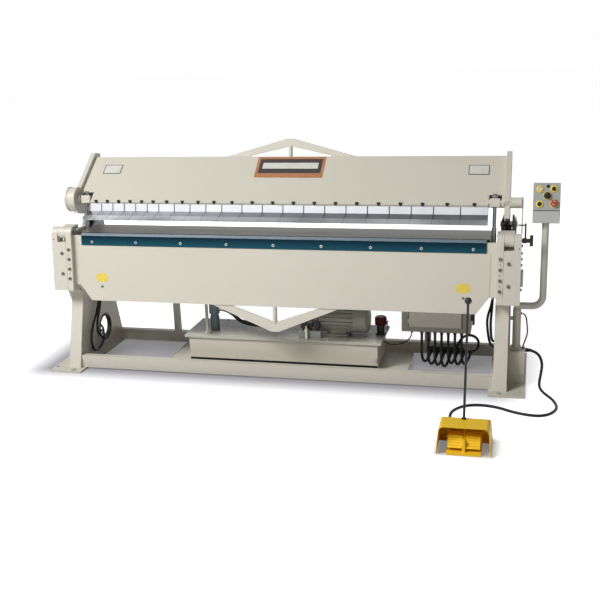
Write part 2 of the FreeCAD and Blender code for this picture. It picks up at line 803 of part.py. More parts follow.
# Trip bar hung from the right tube, straight down when the beam is open
trip_thick = 8
trip = box(tube_out, tube_out + trip_thick, shaft_y - 15, shaft_y + 15, shaft_z - trip_drop, shaft_z + 31)
save("trip_bar", [trip])

# Clamp links: a block on the shaft, a pull rod with a sleeve below it and a nut above
link_run = math.hypot(shaft_y - link_foot_y, shaft_z - link_foot_z)
link_tilt = math.degrees(math.atan2(shaft_y - link_foot_y, shaft_z - link_foot_z))


def tilted(shape, centre_y, centre_z):
    return turned(shape, centre_y, centre_z, -link_tilt)


half_block = link_block / 2
block = box(link_in, link_in + link_block_wide, shaft_y - half_block, shaft_y + half_block,
            shaft_z - half_block, shaft_z + half_block)
block = block.cut(rod((link_in - 1, shaft_y, shaft_z), (link_in + link_block_wide + 1, shaft_y, shaft_z),
                      shaft_r + running))
save("clamp_blocks", [tilted(shape, shaft_y, shaft_z) for shape in pair(block)])
rod_low = shaft_z - link_run + 75
pull = bar((link_x, shaft_y, rod_low), (link_x, shaft_y, shaft_z - half_block), link_rod_r)
sleeve = bar((link_x, shaft_y, shaft_z - 250), (link_x, shaft_y, shaft_z - 141), link_rod_r + 3)
top_nut = hexagon((link_x, shaft_y, shaft_z + half_block), UP, 32, 15)
stud = bar((link_x, shaft_y, shaft_z + half_block), (link_x, shaft_y, shaft_z + half_block + 27), link_rod_r)
save("clamp_rods", [tilted(shape, shaft_y, shaft_z) for shape in
                    pair(joined([pull, sleeve])) + pair(joined([top_nut, stud]))])

# Clamp cylinders: the square bodies that swing on their trunnions and pull the rods down
cyl_side = 3
cylinder = box(beam_half + cyl_side, web_x - cyl_side, link_foot_y - 30, link_foot_y + 30,
               link_foot_z - 32, link_foot_z + 100)
cylinder = cylinder.cut(bar((link_x, link_foot_y, link_foot_z + 18), (link_x, link_foot_y, link_foot_z + 101),
                            link_rod_r + 1.5))
cylinder = cylinder.cut(rod((beam_half, link_foot_y, link_foot_z), (web_x, link_foot_y, link_foot_z),
                            link_pin_r + running))
save("clamp_cylinders", [tilted(shape, link_foot_y, link_foot_z) for shape in pair(cylinder)])

# Oil tank: a body on runners with an overhanging lid
tank_mid = -14
tank_half = 600
tank_front = -32
tank_back = 290
tank_low = 36
lid_z = 192
lid_thick = 8
lid_half = tank_half + 24
tank_wall = 4
body = box(tank_mid - tank_half, tank_mid + tank_half, tank_front, tank_back, tank_low, lid_z)
body = body.cut(box(tank_mid - tank_half + tank_wall, tank_mid + tank_half - tank_wall,
                    tank_front + tank_wall,
                    tank_back - tank_wall, tank_low + tank_wall, lid_z + 1))
runners = []
for y in (tank_front + 30, tank_back - 60):
    runners.append(box(tank_mid - tank_half + 30, tank_mid + tank_half - 30, y, y + 30,
                       tray_z + tray_thick, tank_low))
drain = hexagon((tank_mid + tank_half - 14, tank_front - 10, 92), BACK, 24, 10)
save("tank_body", [joined([body] + runners + [drain])])
lid = box(tank_mid - lid_half, tank_mid + lid_half, tank_front - 14, tank_back + 14, lid_z, lid_z + lid_thick)
lip = box(tank_mid - lid_half, tank_mid + lid_half, tank_front - 14, tank_back + 14, lid_z - 8, lid_z)
lip = lip.cut(box(tank_mid - lid_half + 3, tank_mid + lid_half - 3, tank_front - 11, tank_back + 11,
                  lid_z - 9, lid_z + 1))
deck = lid_z + lid_thick

# Electric motor lying on the lid: finned barrel on feet, and the fan cover
motor_y = 130
motor_r = 72
motor_z = deck + 88
motor_x0 = 222
motor_x1 = 420
fan_x1 = 512
fin_count = 20
fin_high = 9
fin_turn = math.radians(1.6)
barrel_outline = []
for k in range(fin_count):
    middle = 2 * math.pi * k / fin_count
    for turn, reach in ((-2, 0), (-1, fin_high), (1, fin_high), (2, 0)):
        angle = middle + turn * fin_turn
        far = motor_r + reach
        barrel_outline.append((motor_y + far * math.cos(angle), motor_z + far * math.sin(angle)))
barrel = prism_x(barrel_outline, motor_x0, motor_x1)
flange = bar((motor_x0 - 12, motor_y, motor_z), (motor_x0, motor_y, motor_z), motor_r + 8, 20)
motor_feet = [box(motor_x0 + 30, motor_x1 - 30, motor_y - 75, motor_y + 75, deck, deck + 10),
              box(motor_x0 + 50, motor_x1 - 50, motor_y - 50, motor_y + 50, deck + 10, motor_z - 30)]
terminal = box(motor_x0 + 55, motor_x0 + 145, motor_y - 42, motor_y + 42, motor_z + 60, motor_z + 112)
save("motor", [joined([barrel, flange] + motor_feet + [terminal])])
cover = bar((motor_x1, motor_y, motor_z), (fan_x1 - 14, motor_y, motor_z), motor_r + 10, 20)
cover = cover.fuse(taper((fan_x1 - 14, motor_y, motor_z), (fan_x1, motor_y, motor_z),
                         motor_r + 10, motor_r - 8, 20))
for k in range(-3, 4):
    slot_z = motor_z + 14 * k
    cover = cover.cut(box(fan_x1 - 6, fan_x1 + 1, motor_y - 48, motor_y + 48, slot_z - 3, slot_z + 3))
save("fan_cover", [cover])

# Pump, valve manifold, relief valve and return pipe on the lid
pump_x0 = 118
bell = taper((motor_x0 - 60, motor_y, motor_z), (motor_x0 - 12, motor_y, motor_z), 46, motor_r + 6, 20)
pump_body = bar((pump_x0, motor_y, motor_z), (motor_x0 - 60, motor_y, motor_z), 38, 16)
manifold_front = -8
manifold_back = 42
manifold = box(96, 232, manifold_front, manifold_back, deck, deck + 46)
pump_foot = box(motor_x0 - 52, motor_x0 - 22, motor_y - 40, motor_y + 40, deck, motor_z)
save("pump_set", [joined([bell, pump_body, pump_foot]), manifold])
coils = []
coil_y = (manifold_front + manifold_back) / 2
for k in range(3):
    x = 122 + 42 * k
    stem = bar((x, coil_y, deck + 46), (x, coil_y, deck + 60), 9)
    coil = box(x - 16, x + 16, coil_y - 16, coil_y + 16, deck + 60, deck + 96)
    coils.append(joined([stem, coil]))
relief = joined([
    bar((146, manifold_front - 14, deck), (146, manifold_front - 14, deck + 62), 8),
    hexagon((146, manifold_front - 14, deck + 62), UP, 22, 14),
    bar((146, manifold_front - 14, deck + 76), (146, manifold_front - 14, deck + 84), 6),
])
save("relief_valve", [relief])
pipe_x = -498
pipe_y = -2
return_pipe = joined([
    bar((pipe_x, pipe_y, deck), (pipe_x, pipe_y, deck + 270), 10, 12),
    hexagon((pipe_x, pipe_y, deck), UP, 30, 14),
])
filter_x = -478
filter_y = 88
filter_r = 34
oil_filter = joined([
    bar((filter_x, filter_y, deck), (filter_x, filter_y, deck + 90), filter_r - 4, 16),
    bar((filter_x, filter_y, deck + 90), (filter_x, filter_y, deck + 108), filter_r - 8, 16),
    bar((filter_x, filter_y, deck + 108), (filter_x, filter_y, deck + 180), filter_r, 16),
    taper((filter_x, filter_y, deck + 180), (filter_x, filter_y, deck + 190), filter_r, filter_r - 8, 16),
])
save("tank_lid", [joined([lid, lip, return_pipe])])
save("oil_filter", [oil_filter])
cap_x = 580
cap_y = 140
neck_r = 24
cap_r = 37
fill_neck = rod((cap_x, cap_y, deck), (cap_x, cap_y, deck + 76), neck_r)
fill_neck = fill_neck.fuse(bar((cap_x, cap_y, deck), (cap_x, cap_y, deck + 8), neck_r + 10, 12))
save("tank_fittings", coils + [fill_neck])
cap_outline = []
for k in range(32):
    turn = math.radians(11.25 * k)
    grip_r = cap_r if k % 2 else cap_r - 3
    cap_outline.append((cap_x + grip_r * math.cos(turn), cap_y + grip_r * math.sin(turn)))
cap = prism_z(cap_outline, deck + 60, deck + 112)
cap = cap.cut(bar((cap_x, cap_y, deck + 59), (cap_x, cap_y, deck + 77), neck_r + 2, 16))
save("filler_cap", [cap])

# Electrical enclosure on the rear posts, with its door, switch and cable glands
cab_x0 = 711
cab_x1 = 1126
cab_front = 120
cab_back = 318
cab_low = 228
cab_high = cab_low + 248
wall = 3
cabinet = box(cab_x0, cab_x1, cab_front, cab_back, cab_low, cab_high)
cabinet = cabinet.cut(box(cab_x0 + wall, cab_x1 - wall, cab_front - 1, cab_back - wall,
                          cab_low + wall, cab_high - wall))
frame_face = box(cab_x0, cab_x1, cab_front, cab_front + wall, cab_low, cab_high)
door_x0 = cab_x0 + 48
door_x1 = cab_x1 - 54
door_low = cab_low + 36
door_high = cab_high - 36
frame_face = frame_face.cut(box(door_x0 + 12, door_x1 - 12, cab_front - 1, cab_front + wall + 1,
                                door_low + 12, door_high - 12))
tabs = [box(post_x - 15, post_x + 15, cab_back, rear_rail_y, z, z + 20)
        for z in (cab_low + 30, cab_high - 60)]
door_thick = 14
door_gap = 1
knuckle_r = 5
knuckle_pin_r = 2.5
knuckle_x = door_x0 - 6
knuckle_y = cab_front - door_gap - door_thick
knuckle_half = 12
ears = []
knuckles = []
for z in (door_low + 36, door_high - 36):
    ears.append(bar((knuckle_x, knuckle_y, z - knuckle_half - 6),
                    (knuckle_x, knuckle_y, z + knuckle_half + 6),
                    knuckle_pin_r))
    for low in (z - knuckle_half - 7, z + knuckle_half + 1):
        ears.append(bar((knuckle_x, knuckle_y, low), (knuckle_x, knuckle_y, low + 6), knuckle_r))
        ears.append(box(knuckle_x - knuckle_r, knuckle_x + knuckle_r, knuckle_y, cab_front, low, low + 6))
    knuckle = bar((knuckle_x, knuckle_y, z - knuckle_half),
                  (knuckle_x, knuckle_y, z + knuckle_half), knuckle_r)
    leaf_tab = box(knuckle_x, door_x0 + 1, knuckle_y, knuckle_y + 3, z - knuckle_half, z + knuckle_half)
    bore = rod((knuckle_x, knuckle_y, z - knuckle_half - 1), (knuckle_x, knuckle_y, z + knuckle_half + 1),
               knuckle_pin_r + running)
    knuckles.append(knuckle.fuse(leaf_tab).cut(bore))
save("enclosure", [joined([cabinet, frame_face] + tabs + ears)])
door = box(door_x0, door_x1, cab_front - door_gap - door_thick, cab_front - door_gap, door_low, door_high)
door = door.cut(box(door_x0 + 2, door_x1 - 2, cab_front - door_gap - door_thick + 2, cab_front,
                    door_low + 2, door_high - 2))
latch = bar((door_x1 - 22, cab_front - door_gap - door_thick - 4, (door_low + door_high) / 2),
            (door_x1 - 22, cab_front - door_gap - door_thick, (door_low + door_high) / 2), 9, 12)
save("enclosure_door", [joined([door, latch] + knuckles)])
switch_z = cab_low + 82
switch_y = cab_front + 60
switch_hub = bar((cab_x1 + small_gap, switch_y, switch_z), (cab_x1 + 7, switch_y, switch_z), 20, 16)
switch_stem = rod((cab_x1 + 7, switch_y, switch_z), (cab_x1 + 8, switch_y, switch_z), 6)
switch_grip = box(cab_x1 + 8, cab_x1 + 20, switch_y - 8, switch_y + 8, switch_z - 42, switch_z + 42)
save("main_switch", [joined([switch_hub, switch_stem, switch_grip])])
gland_y = cab_front + 20
gland_x = [cab_x0 + 121 + 40 * k for k in range(7)]
gland_low = cab_low - 18
glands = [joined([hexagon((x, gland_y, cab_low - 8), UP, 24, 8),
                  bar((x, gland_y, gland_low), (x, gland_y, cab_low - 8), 10)]) for x in gland_x]
thin_gland_x = cab_x0 + 60
thin_gland_z = cab_low - 12
glands.append(bar((thin_gland_x, gland_y, thin_gland_z), (thin_gland_x, gland_y, cab_low), 7))
cord_gland_y = -28
cord_gland_z = case_top - 12
cord_start_x = case_out + 6
glands.append(bar((case_out, cord_gland_y, cord_gland_z), (cord_start_x, cord_gland_y, cord_gland_z), 11))
side_gland_x = case_out - 12
side_gland_y = post_mid_y + 8
glands.append(bar((side_gland_x, side_gland_y, case_top), (side_gland_x, side_gland_y, case_top + 12), 7))
post_gland_z = post_top - 20
post_gland = bar((post_mid_x + 17, post_mid_y, post_gland_z),
                 (post_mid_x + post_r + 6, post_mid_y, post_gland_z), 7)
post_gland = post_gland.cut(rod((post_mid_x, post_mid_y, post_gland_z - 9),
                                (post_mid_x, post_mid_y, post_gland_z + 9), post_r))
glands.append(post_gland)
save("cable_glands", glands)

# Black conduits: seven loops under the enclosure that swing forward and gather in one bundle
conduit_r = 7
bundle_y = 202
bundle_z = 93
bundle_r = 20
drops = [0, 14, 18, 26, 4, 10, 6]
runs = [40, 86, 48, 48, 48]
leans = [0, -38, 12, 60, 108]
drifts = [0, 4, 12, 24, 38]
loops = []
for k, (x, drop) in enumerate(zip(gland_x, drops)):
    y = gland_y
    z = gland_low - 0.5
    route = [(x, y, z)]
    for step, (run, lean, drift) in enumerate(zip(runs, leans, drifts)):
        longer = drop if step == 1 else 0
        y += (run + longer) * math.sin(math.radians(lean))
        z -= (run + longer) * math.cos(math.radians(lean))
        route.append((x + drift, y, z))
    route.append((x + 58, bundle_y, bundle_z))
    loops.append(cord(route, conduit_r, "conduit " + str(k)))
bundle_end = gland_x[-1] + 6
turn_back = [(0, 0, 0), (36, 0, -10), (76, 1, 4), (96, 4, 42), (84, 8, 80), (48, 11, 98), (8, 10, 92),
             (-22, 5, 62), (-42, 0, 14)]
last_loop = [(bundle_end + x, bundle_y + y, bundle_z + z) for x, y, z in turn_back]
loops.append(cord(last_loop, conduit_r, "last loop"))
loom = bar((gland_x[0] + 40, bundle_y, bundle_z), (bundle_end + 2, bundle_y, bundle_z), bundle_r, 12)

# Pendant arm: a bent tube that turns in the post and carries the control box
arm_y = post_mid_y
arm_r = 20
arm_z = front_cap_z - 19
pend_x = block_out + 124
arm_top = bed_z + 110
arm_seat = 21
arm_bend = 60
pend_low = arm_top - arm_seat
arm_sides = 12
level_tube = bar((post_mid_x - arm_r, arm_y, arm_z), (pend_x - arm_bend, arm_y, arm_z), arm_r, arm_sides)
elbow_face = flat_face(ring_corners(V(pend_x - arm_bend, arm_y, arm_z), ALONG, arm_r, arm_sides))
elbow = elbow_face.revolve(V(pend_x - arm_bend, arm_y, arm_z + arm_bend), V(0, -1, 0), 90)
seat_low = pend_low - 4
upright = bar((pend_x, arm_y, arm_z + arm_bend), (pend_x, arm_y, seat_low), arm_r, arm_sides)
seat_plug = rod((pend_x, arm_y, seat_low), (pend_x, arm_y, arm_top), arm_r)
spigot = rod((post_mid_x, arm_y, post_top - 100), (post_mid_x, arm_y, arm_z), post_bore)
spigot_collar = bar((post_mid_x, arm_y, post_top + small_gap), (post_mid_x, arm_y, post_top + 8), post_r, 20)
save("pendant_arm", [joined([level_tube, elbow, upright, seat_plug, spigot, spigot_collar])])

# Pendant box: vertical lower cover and a sloping face for the buttons
pend_half = 72
pend_front = arm_y - 50
pend_back = arm_y + 40
face_low = pend_low + 72
pend_high = pend_low + 208
face_back = 38
pend_wall = 3


def pendant_side(inset):
    # the side view of the box, or of its hollow when drawn further in
    return [
        (pend_front + inset, pend_low + inset),
        (pend_front + inset, face_low),
        (pend_front + face_back + inset, pend_high - inset),
        (pend_back - inset, pend_high - inset),
        (pend_back - inset, pend_low + inset),
    ]


pendant = prism_x(pendant_side(0), pend_x - pend_half, pend_x + pend_half)
hollow = prism_x(pendant_side(pend_wall), pend_x - pend_half + pend_wall, pend_x + pend_half - pend_wall)
seat_wall = box(pend_x - arm_r - 6, pend_x + arm_r + 6, arm_y - arm_r - 6, arm_y + arm_r + 6,
                pend_low, arm_top + pend_wall)
pendant = pendant.cut(hollow.cut(seat_wall))
face_run = math.hypot(face_back, pend_high - face_low)
face_u = V(0, face_back / face_run, (pend_high - face_low) / face_run)
face_n = V(0, -face_u.z, face_u.y)
face_top = V(pend_x, pend_front + face_back, pend_high)


def on_face(across, down):
    return face_top + V(across, 0, 0) - face_u * down


def face_rod(across, down, start, end, radius):
    a = on_face(across, down) + face_n * start
    return Part.makeCylinder(radius, end - start, a, face_n)


def face_bar(across, down, start, end, radius, sides=12):
    a = on_face(across, down) + face_n * start
    corners = ring_corners(a, face_n, radius, sides)
    return Part.Face(Part.makePolygon(corners + corners[:1])).extrude(face_n * (end - start))


pendant = pendant.cut(rod((pend_x, arm_y, pend_low - 1), (pend_x, arm_y, arm_top + 1), arm_r + running))
button_places = {"button_start": (-37, 27), "button_return": (37, 25), "button_jog": (-37, 108)}
button_r = 11
button_gap = 0.4
press = 4
for across, down in button_places.values():
    pendant = pendant.cut(face_bar(across, down, -press - 2, 1, button_r + button_gap))
select_place = (3, 62)
estop_place = (39, 103)
lamp_place = (5, 11)
stem_r = 8
select_r = 6
pendant = pendant.cut(face_bar(*estop_place, -8, 1, stem_r + button_gap))
pendant = pendant.cut(face_bar(*select_place, -5, 1, select_r + 2 * button_gap))
cover = box(pend_x - pend_half + 3, pend_x + pend_half - 3, pend_front - 2, pend_front,
            pend_low + 4, face_low - 6)
save("pendant_box", [joined([pendant, cover])])
rings = []
for across, down in button_places.values():
    ring = face_bar(across, down, 0, 6, 20).cut(face_bar(across, down, -1, 7, button_r + button_gap))
    rings.append(ring)
rings.append(face_bar(*estop_place, 0, 3, 24).cut(face_bar(*estop_place, -1, 4, stem_r + button_gap)))
rings.append(face_bar(*select_place, 0, 4, 22).cut(face_bar(*select_place, -1, 5, select_r + 2 * button_gap)))
save("pendant_rings", rings)
for name, (across, down) in button_places.items():
    save(name, [face_bar(across, down, -1, 9, button_r)])
knob_base = face_bar(*select_place, 4 + button_gap, 16, 18)
knob_stem = face_rod(*select_place, -4, 5, select_r)
centre = on_face(*select_place)
grip = Part.makeBox(9, 34, 10, V(-4.5, -17, 16))
grip.Placement = FreeCAD.Placement(centre, FreeCAD.Rotation(V(1, 0, 0), face_u, face_n, "ZXY"))
save("selector", [joined([knob_base, knob_stem, grip])])
mushroom = joined([
    face_bar(*estop_place, -1, 14, stem_r),
    face_bar(*estop_place, 12, 22, 20, 16),
])
save("emergency_stop", [mushroom])
save("pendant_lamp", [face_bar(*lamp_place, 0, 9, 9)])

# Foot switch: base, hood, two treads, and a carrying rod with a ball
foot_x = 1174
base_half = 84
base_top = 26
divider = 7
hood_top_half = 124
hood_low_half = 134
hood_high = 148
hood_drop = 14
hood_bend = 26
sheet = 3
base = box(foot_x - base_half, foot_x + base_half, switch_front, switch_back - sheet, 0, base_top - 12)
wall_mid = box(foot_x - divider, foot_x + divider, switch_front + 10, switch_back - sheet, base_top - 12, 74)
sides = [box(x, x + 4, switch_front + 70, switch_back - sheet, base_top - 12, 74)
         for x in (foot_x - base_half, foot_x + base_half - 4)]
tread_pin_y = switch_back - 36
tread_pin_z = 46
tread_pin_r = 4
tread_pin = bar((foot_x - base_half, tread_pin_y, tread_pin_z),
                (foot_x + base_half, tread_pin_y, tread_pin_z),
                tread_pin_r)
foot_base = joined([base, wall_mid] + sides + [tread_pin])


def hood_section(grow):
    # the front view, with rounded upper corners
    half = hood_top_half + grow
    top = hood_high + grow
    outline = [(foot_x - hood_low_half - grow, -1)]
    for k in range(5):
        turn = math.radians(180 - 22.5 * k)
        outline.append((foot_x - half + hood_bend * (1 + math.cos(turn)),
                        top - hood_bend * (1 - math.sin(turn))))
    for k in range(5):
        turn = math.radians(90 - 22.5 * k)
        outline.append((foot_x + half - hood_bend * (1 - math.cos(turn)),
                        top - hood_bend * (1 - math.sin(turn))))
    outline.append((foot_x + hood_low_half + grow, -1))
    return outline


def hood_profile(front, back, low, down):
    # the side view: a roof that falls to the back
    return prism_x([
        (front, low),
        (front, hood_high - down),
        (switch_back - 50, hood_high - hood_drop + 8 - down),
        (back, hood_high - 40 - down),
        (back, low),
    ], foot_x - hood_low_half - 1, foot_x + hood_low_half + 1)


hood_solid = hood_profile(switch_front, switch_back, 0, 0)
hood_outer = prism_y(hood_section(0), switch_front, switch_back).common(hood_solid)
hood_inner = prism_y(hood_section(-sheet), switch_front - 1, switch_back)
hood = hood_outer.cut(hood_inner.common(hood_profile(switch_front - 1, switch_back - sheet, -1, sheet)))
feet_bars = box(foot_x - hood_low_half + 4, foot_x + hood_low_half - 4,
                switch_back - 24, switch_back - sheet, 0, 5)
foot_base_hole = box(foot_x - base_half - 1, foot_x + base_half + 1,
                     switch_back - 30, switch_back - sheet, -1, 6)
hood = joined([hood, feet_bars.cut(foot_base_hole)])
cord_hole_x = foot_x - 96
cord_hole_z = 20
gland_r = 11
hood_gland = bar((cord_hole_x, switch_back - 12, cord_hole_z),
                 (cord_hole_x, switch_back + 5, cord_hole_z), gland_r)
hood = hood.cut(bar((cord_hole_x, switch_back - 10, cord_hole_z),
                    (cord_hole_x, switch_back + 1, cord_hole_z), gland_r))
gland_rest = box(cord_hole_x - 6, foot_x - base_half, switch_back - 12, switch_back - 5, 12, 24)
hood_gland = hood_gland.fuse(gland_rest)
save("foot_switch_hood", [hood])
save("foot_switch_base", [joined([foot_base, hood_gland])])
tread_side = [
    (switch_front + 14, 34),
    (switch_front + 56, 82),
    (tread_pin_y + 2, 64),
    (tread_pin_y + 12, tread_pin_z),
    (tread_pin_y, tread_pin_z - 12),
    (switch_front + 24, 28),
]
treads = {
    "tread_left": (foot_x - base_half + 5, foot_x - divider - 1),
    "tread_right": (foot_x + divider + 1, foot_x + base_half - 5),
}
for name, (x0, x1) in treads.items():
    tread = prism_x(tread_side, x0, x1)
    tread = tread.cut(rod((x0 - 1, tread_pin_y, tread_pin_z),
                          (x1 + 1, tread_pin_y, tread_pin_z), tread_pin_r + running))
    for k in range(4):
        step_y = switch_front + 22 + 9 * k
        step_z = 34 + (step_y - switch_front - 14) * 48 / 42
        tread = tread.cut(box(x0 + 4, x1 - 4, step_y, step_y + 2, step_z - 1.5, step_z + 6))
    save(name, [tread])
handle_foot = (foot_x - 7, switch_back - 66, hood_high - hood_drop + 6)
handle_top = (foot_x + 5, switch_back - 66, 752)
ball_r = 17.5
handle = bar(handle_foot, handle_top, 6)
ball_rings = []
for k in range(-3, 4):
    turn = math.radians(25 * k)
    centre = V(handle_top[0], handle_top[1], handle_top[2] + ball_r * math.sin(turn))
    ball_rings.append(ring_corners(centre, UP, ball_r * math.cos(turn), 16))
handle = handle.fuse(stacked(ball_rings))
handle = handle.fuse(bar(handle_foot, (handle_foot[0], handle_foot[1], handle_foot[2] + 14), 10))
save("carrying_rod", [handle.cut(hood_solid)])

# Foot switch cord: out of the junction box, down to the floor and across it to the hood
cord_r = 8
on_floor = cord_r + 0.5
cord_out_x = case_out + 101
floor_bends = [(0.994, 0.195), (1.134, 0.334), (1.176, 0.487), (1.015, 0.612), (0.726, 0.585), (0.45, 0.485),
               (0.153, 0.487), (-0.025, 0.608), (-0.008, 0.768), (-0.002, 0.896)]
floor_route = [
    (cord_start_x + 0.5, cord_gland_y, cord_gland_z),
    (case_out + 39, cord_gland_y, cord_gland_z),
    (cord_out_x - 19, cord_gland_y, cord_gland_z - 26),
    (cord_out_x, cord_gland_y, cord_gland_z - 82),
    (cord_out_x - 9, cord_gland_y - 18, cord_gland_z - 146),
    (cord_out_x - 18, cord_gland_y - 76, on_floor),
]
for across, down in floor_bends:
    floor_route.append((cord_hole_x + across * (cord_out_x - cord_hole_x),
                        cord_gland_y - down * (cord_gland_y - switch_back), on_floor))
floor_route.append((cord_hole_x, switch_back + 6, cord_hole_z))
floor_cord = cord(floor_route, cord_r, "floor cord")
save("foot_switch_cord", [floor_cord])

# Hydraulic hoses inside both side frames: from the ports down the webs and out through the edged holes
hose_r = 7.5
hose_top = port_low - 0.6
left_x = -port_x
hoses = [
    cord([
        (left_x, 62, hose_top),
        (left_x - 1, 60, 408),
        (left_x - 2, 20, 318),
        (left_x - 2, -50, 252),
        (left_x, -112, 170),
        (left_x, -88, 74),
        (left_x - 1, 8, 62),
        (left_x - 2, 88, 110),
        (left_x - 30, 134, 144),
        (left_x - 88, 148, 148),
    ], hose_r, "left hose 1"),
    cord([
        (left_x, 92, hose_top),
        (left_x, 90, 412),
        (left_x, 56, 328),
        (left_x, 4, 260),
        (left_x, -12, 180),
        (left_x - 2, 46, 126),
        (left_x - 14, 112, 152),
        (left_x - 46, 138, 184),
        (left_x - 88, 148, 192),
    ], hose_r, "left hose 2"),
    cord([
        (port_x, 92, hose_top),
        (port_x - 4, 90, 430),
        (port_x - 32, 64, 352),
        (port_x - 24, 50, 262),
        (port_x - 10, 84, 176),
        (port_x + 28, 128, 140),
        (port_x + 80, 140, 138),
    ], hose_r, "right hose 1"),
    cord([
        (port_x, 62, hose_top),
        (port_x - 1, 58, 426),
        (port_x - 8, 18, 346),
        (port_x - 4, 16, 262),
        (port_x + 2, 76, 200),
        (port_x + 30, 136, 190),
        (port_x + 82, 160, 196),
    ], hose_r, "right hose 2"),
]
side_cable = cord([
    (post_mid_x + post_r + 9.5, post_mid_y, post_gland_z),
    (post_mid_x + post_r + 28, post_mid_y, post_gland_z - 12),
    (side_gland_x + 18, post_mid_y + 2, post_gland_z - 60),
    (side_gland_x + 24, post_mid_y + 4, post_gland_z - 118),
    (side_gland_x + 10, side_gland_y, case_top + 48),
    (side_gland_x, side_gland_y, case_top + 14.5),
], 4, "side cable")
lid_end = tank_mid + lid_half
tank_cable = cord([
    (lid_end + 3, 20, deck - 5),
    (lid_end + 30, 20, deck - 24),
    (lid_end + 76, 40, deck - 34),
    (lid_end + 120, 80, deck - 34),
    (thin_gland_x - 4, gland_y - 14, deck - 14),
    (thin_gland_x, gland_y, thin_gland_z - 2.5),
], 3.5, "tank cable")
save("cables", [joined([loom] + loops), side_cable, tank_cable])

# Pump hose over the lid from the filter to the pump
pump_hose = cord([
    (filter_x + filter_r + 2, filter_y, deck + 140),
    (filter_x + filter_r + 70, filter_y, deck + 130),
    (filter_x + filter_r + 150, filter_y + 10, deck + 34),
    (-60, motor_y, deck + 30),
    (40, motor_y, motor_z - 10),
    (pump_x0 - 2, motor_y, motor_z),
], 12, "pump hose")
save("hydraulic_hoses", hoses + [pump_hose])
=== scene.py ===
# %% [markdown]
# # Dressing a hydraulic box and pan brake
# The machine folds sheet metal. A raised beam of clamping fingers hangs over a bed, a leaf hangs
# in front of it on two end hinges, and an oil power unit stands between the legs.
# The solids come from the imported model, so this lesson only gives them their finishes, and adds
# the small pieces that are easier to make in Blender: cords, screws, welds and plates.
# Everything is in metres: X runs along the bed, Y runs to the back and Z runs up from the floor.

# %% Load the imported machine
import bmesh
import bpy
import json
import math
from mathutils import Matrix, Vector


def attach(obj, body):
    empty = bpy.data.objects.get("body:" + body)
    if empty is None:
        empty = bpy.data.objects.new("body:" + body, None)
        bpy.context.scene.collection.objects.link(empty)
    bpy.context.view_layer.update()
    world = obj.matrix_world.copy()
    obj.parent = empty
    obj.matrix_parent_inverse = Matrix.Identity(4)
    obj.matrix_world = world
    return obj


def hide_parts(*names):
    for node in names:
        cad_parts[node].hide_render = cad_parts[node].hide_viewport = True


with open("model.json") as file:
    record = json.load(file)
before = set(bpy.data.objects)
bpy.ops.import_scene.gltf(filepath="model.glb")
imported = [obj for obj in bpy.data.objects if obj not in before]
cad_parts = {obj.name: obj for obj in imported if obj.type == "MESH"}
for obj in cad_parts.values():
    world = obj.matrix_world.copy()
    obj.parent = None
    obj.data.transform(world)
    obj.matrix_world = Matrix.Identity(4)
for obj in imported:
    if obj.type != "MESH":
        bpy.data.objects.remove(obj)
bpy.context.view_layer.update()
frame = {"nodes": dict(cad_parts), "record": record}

nodes = frame["nodes"]
scene = bpy.context.scene
inch = 0.0254
joint_of = {joint["name"]: joint for joint in frame["record"]["behaviour"]["joints"]}
beam_raised, leaf_leaning = 12, 6

# %% [markdown]
# ## The camera
# The picture was taken from the right of the middle, a little above the machine's top.
# The angles and the place come from fitting the real sizes to the photograph, so the camera is
# built from its three angles and its lens, and not aimed by eye.

# %% Camera at the photographer's place
turn_left = math.radians(14.39)
look_down = math.radians(16.24)
tilt = math.radians(2.12)
eye = Vector((1.458, -5.261, 2.022))
focal_in_pixels = 930.1
picture_width = 600

forward = Vector((-math.sin(turn_left) * math.cos(look_down), math.cos(turn_left) * math.cos(look_down),
                  -math.sin(look_down)))
level_right = Vector((math.cos(turn_left), math.sin(turn_left), 0))
level_down = forward.cross(level_right)
right = math.cos(tilt) * level_right + math.sin(tilt) * level_down
up = math.sin(tilt) * level_right - math.cos(tilt) * level_down

lens_data = bpy.data.cameras.new("photo_camera")
lens_data.sensor_width = 36
lens_data.lens = focal_in_pixels / picture_width * lens_data.sensor_width
camera = bpy.data.objects.new("photo_camera", lens_data)
scene.collection.objects.link(camera)
camera.matrix_world = Matrix((
    (right.x, up.x, -forward.x, eye.x),
    (right.y, up.y, -forward.y, eye.y),
    (right.z, up.z, -forward.z, eye.z),
    (0, 0, 0, 1),
))
scene.camera = camera
scene.view_settings.view_transform = "Standard"
print("lens", round(lens_data.lens, 1), "mm")

# %% [markdown]
# ## Small tools for shader trees
# A shader tree is a list of nodes and links. This helper adds one node and fills its sockets:
# a value that is itself a socket is linked, any other value is written into the socket. A group
# is a tree of its own, with sockets to come in by and to go out by.

# %% A helper that adds a node
def add(tree, kind, values=None, **settings):
    node = tree.nodes.new("ShaderNode" + kind)
    for name, setting in settings.items():
        setattr(node, name, setting)
    for socket, value in (values or {}).items():
        if isinstance(value, bpy.types.NodeSocket):
            tree.links.new(value, node.inputs[socket])
        else:
            node.inputs[socket].default_value = value
    return node


def new_group(name, inputs, outputs):
    tree = bpy.data.node_groups.new(name, "ShaderNodeTree")
    for label, kind, value in inputs:
        socket = tree.interface.new_socket(name=label, in_out="INPUT", socket_type="NodeSocket" + kind)
        socket.default_value = value
    for label, kind in outputs:
        tree.interface.new_socket(name=label, in_out="OUTPUT", socket_type="NodeSocket" + kind)
    start = tree.nodes.new("NodeGroupInput").outputs
    end = tree.nodes.new("NodeGroupOutput").inputs
    return tree, start, end


print("node helper ready")

# %% [markdown]
# A few kinds of node come back in every tree, so each has a short step of its own: two colours
# mixed, a sum, a range stretched to another one, a place, one axis of it, and noise.

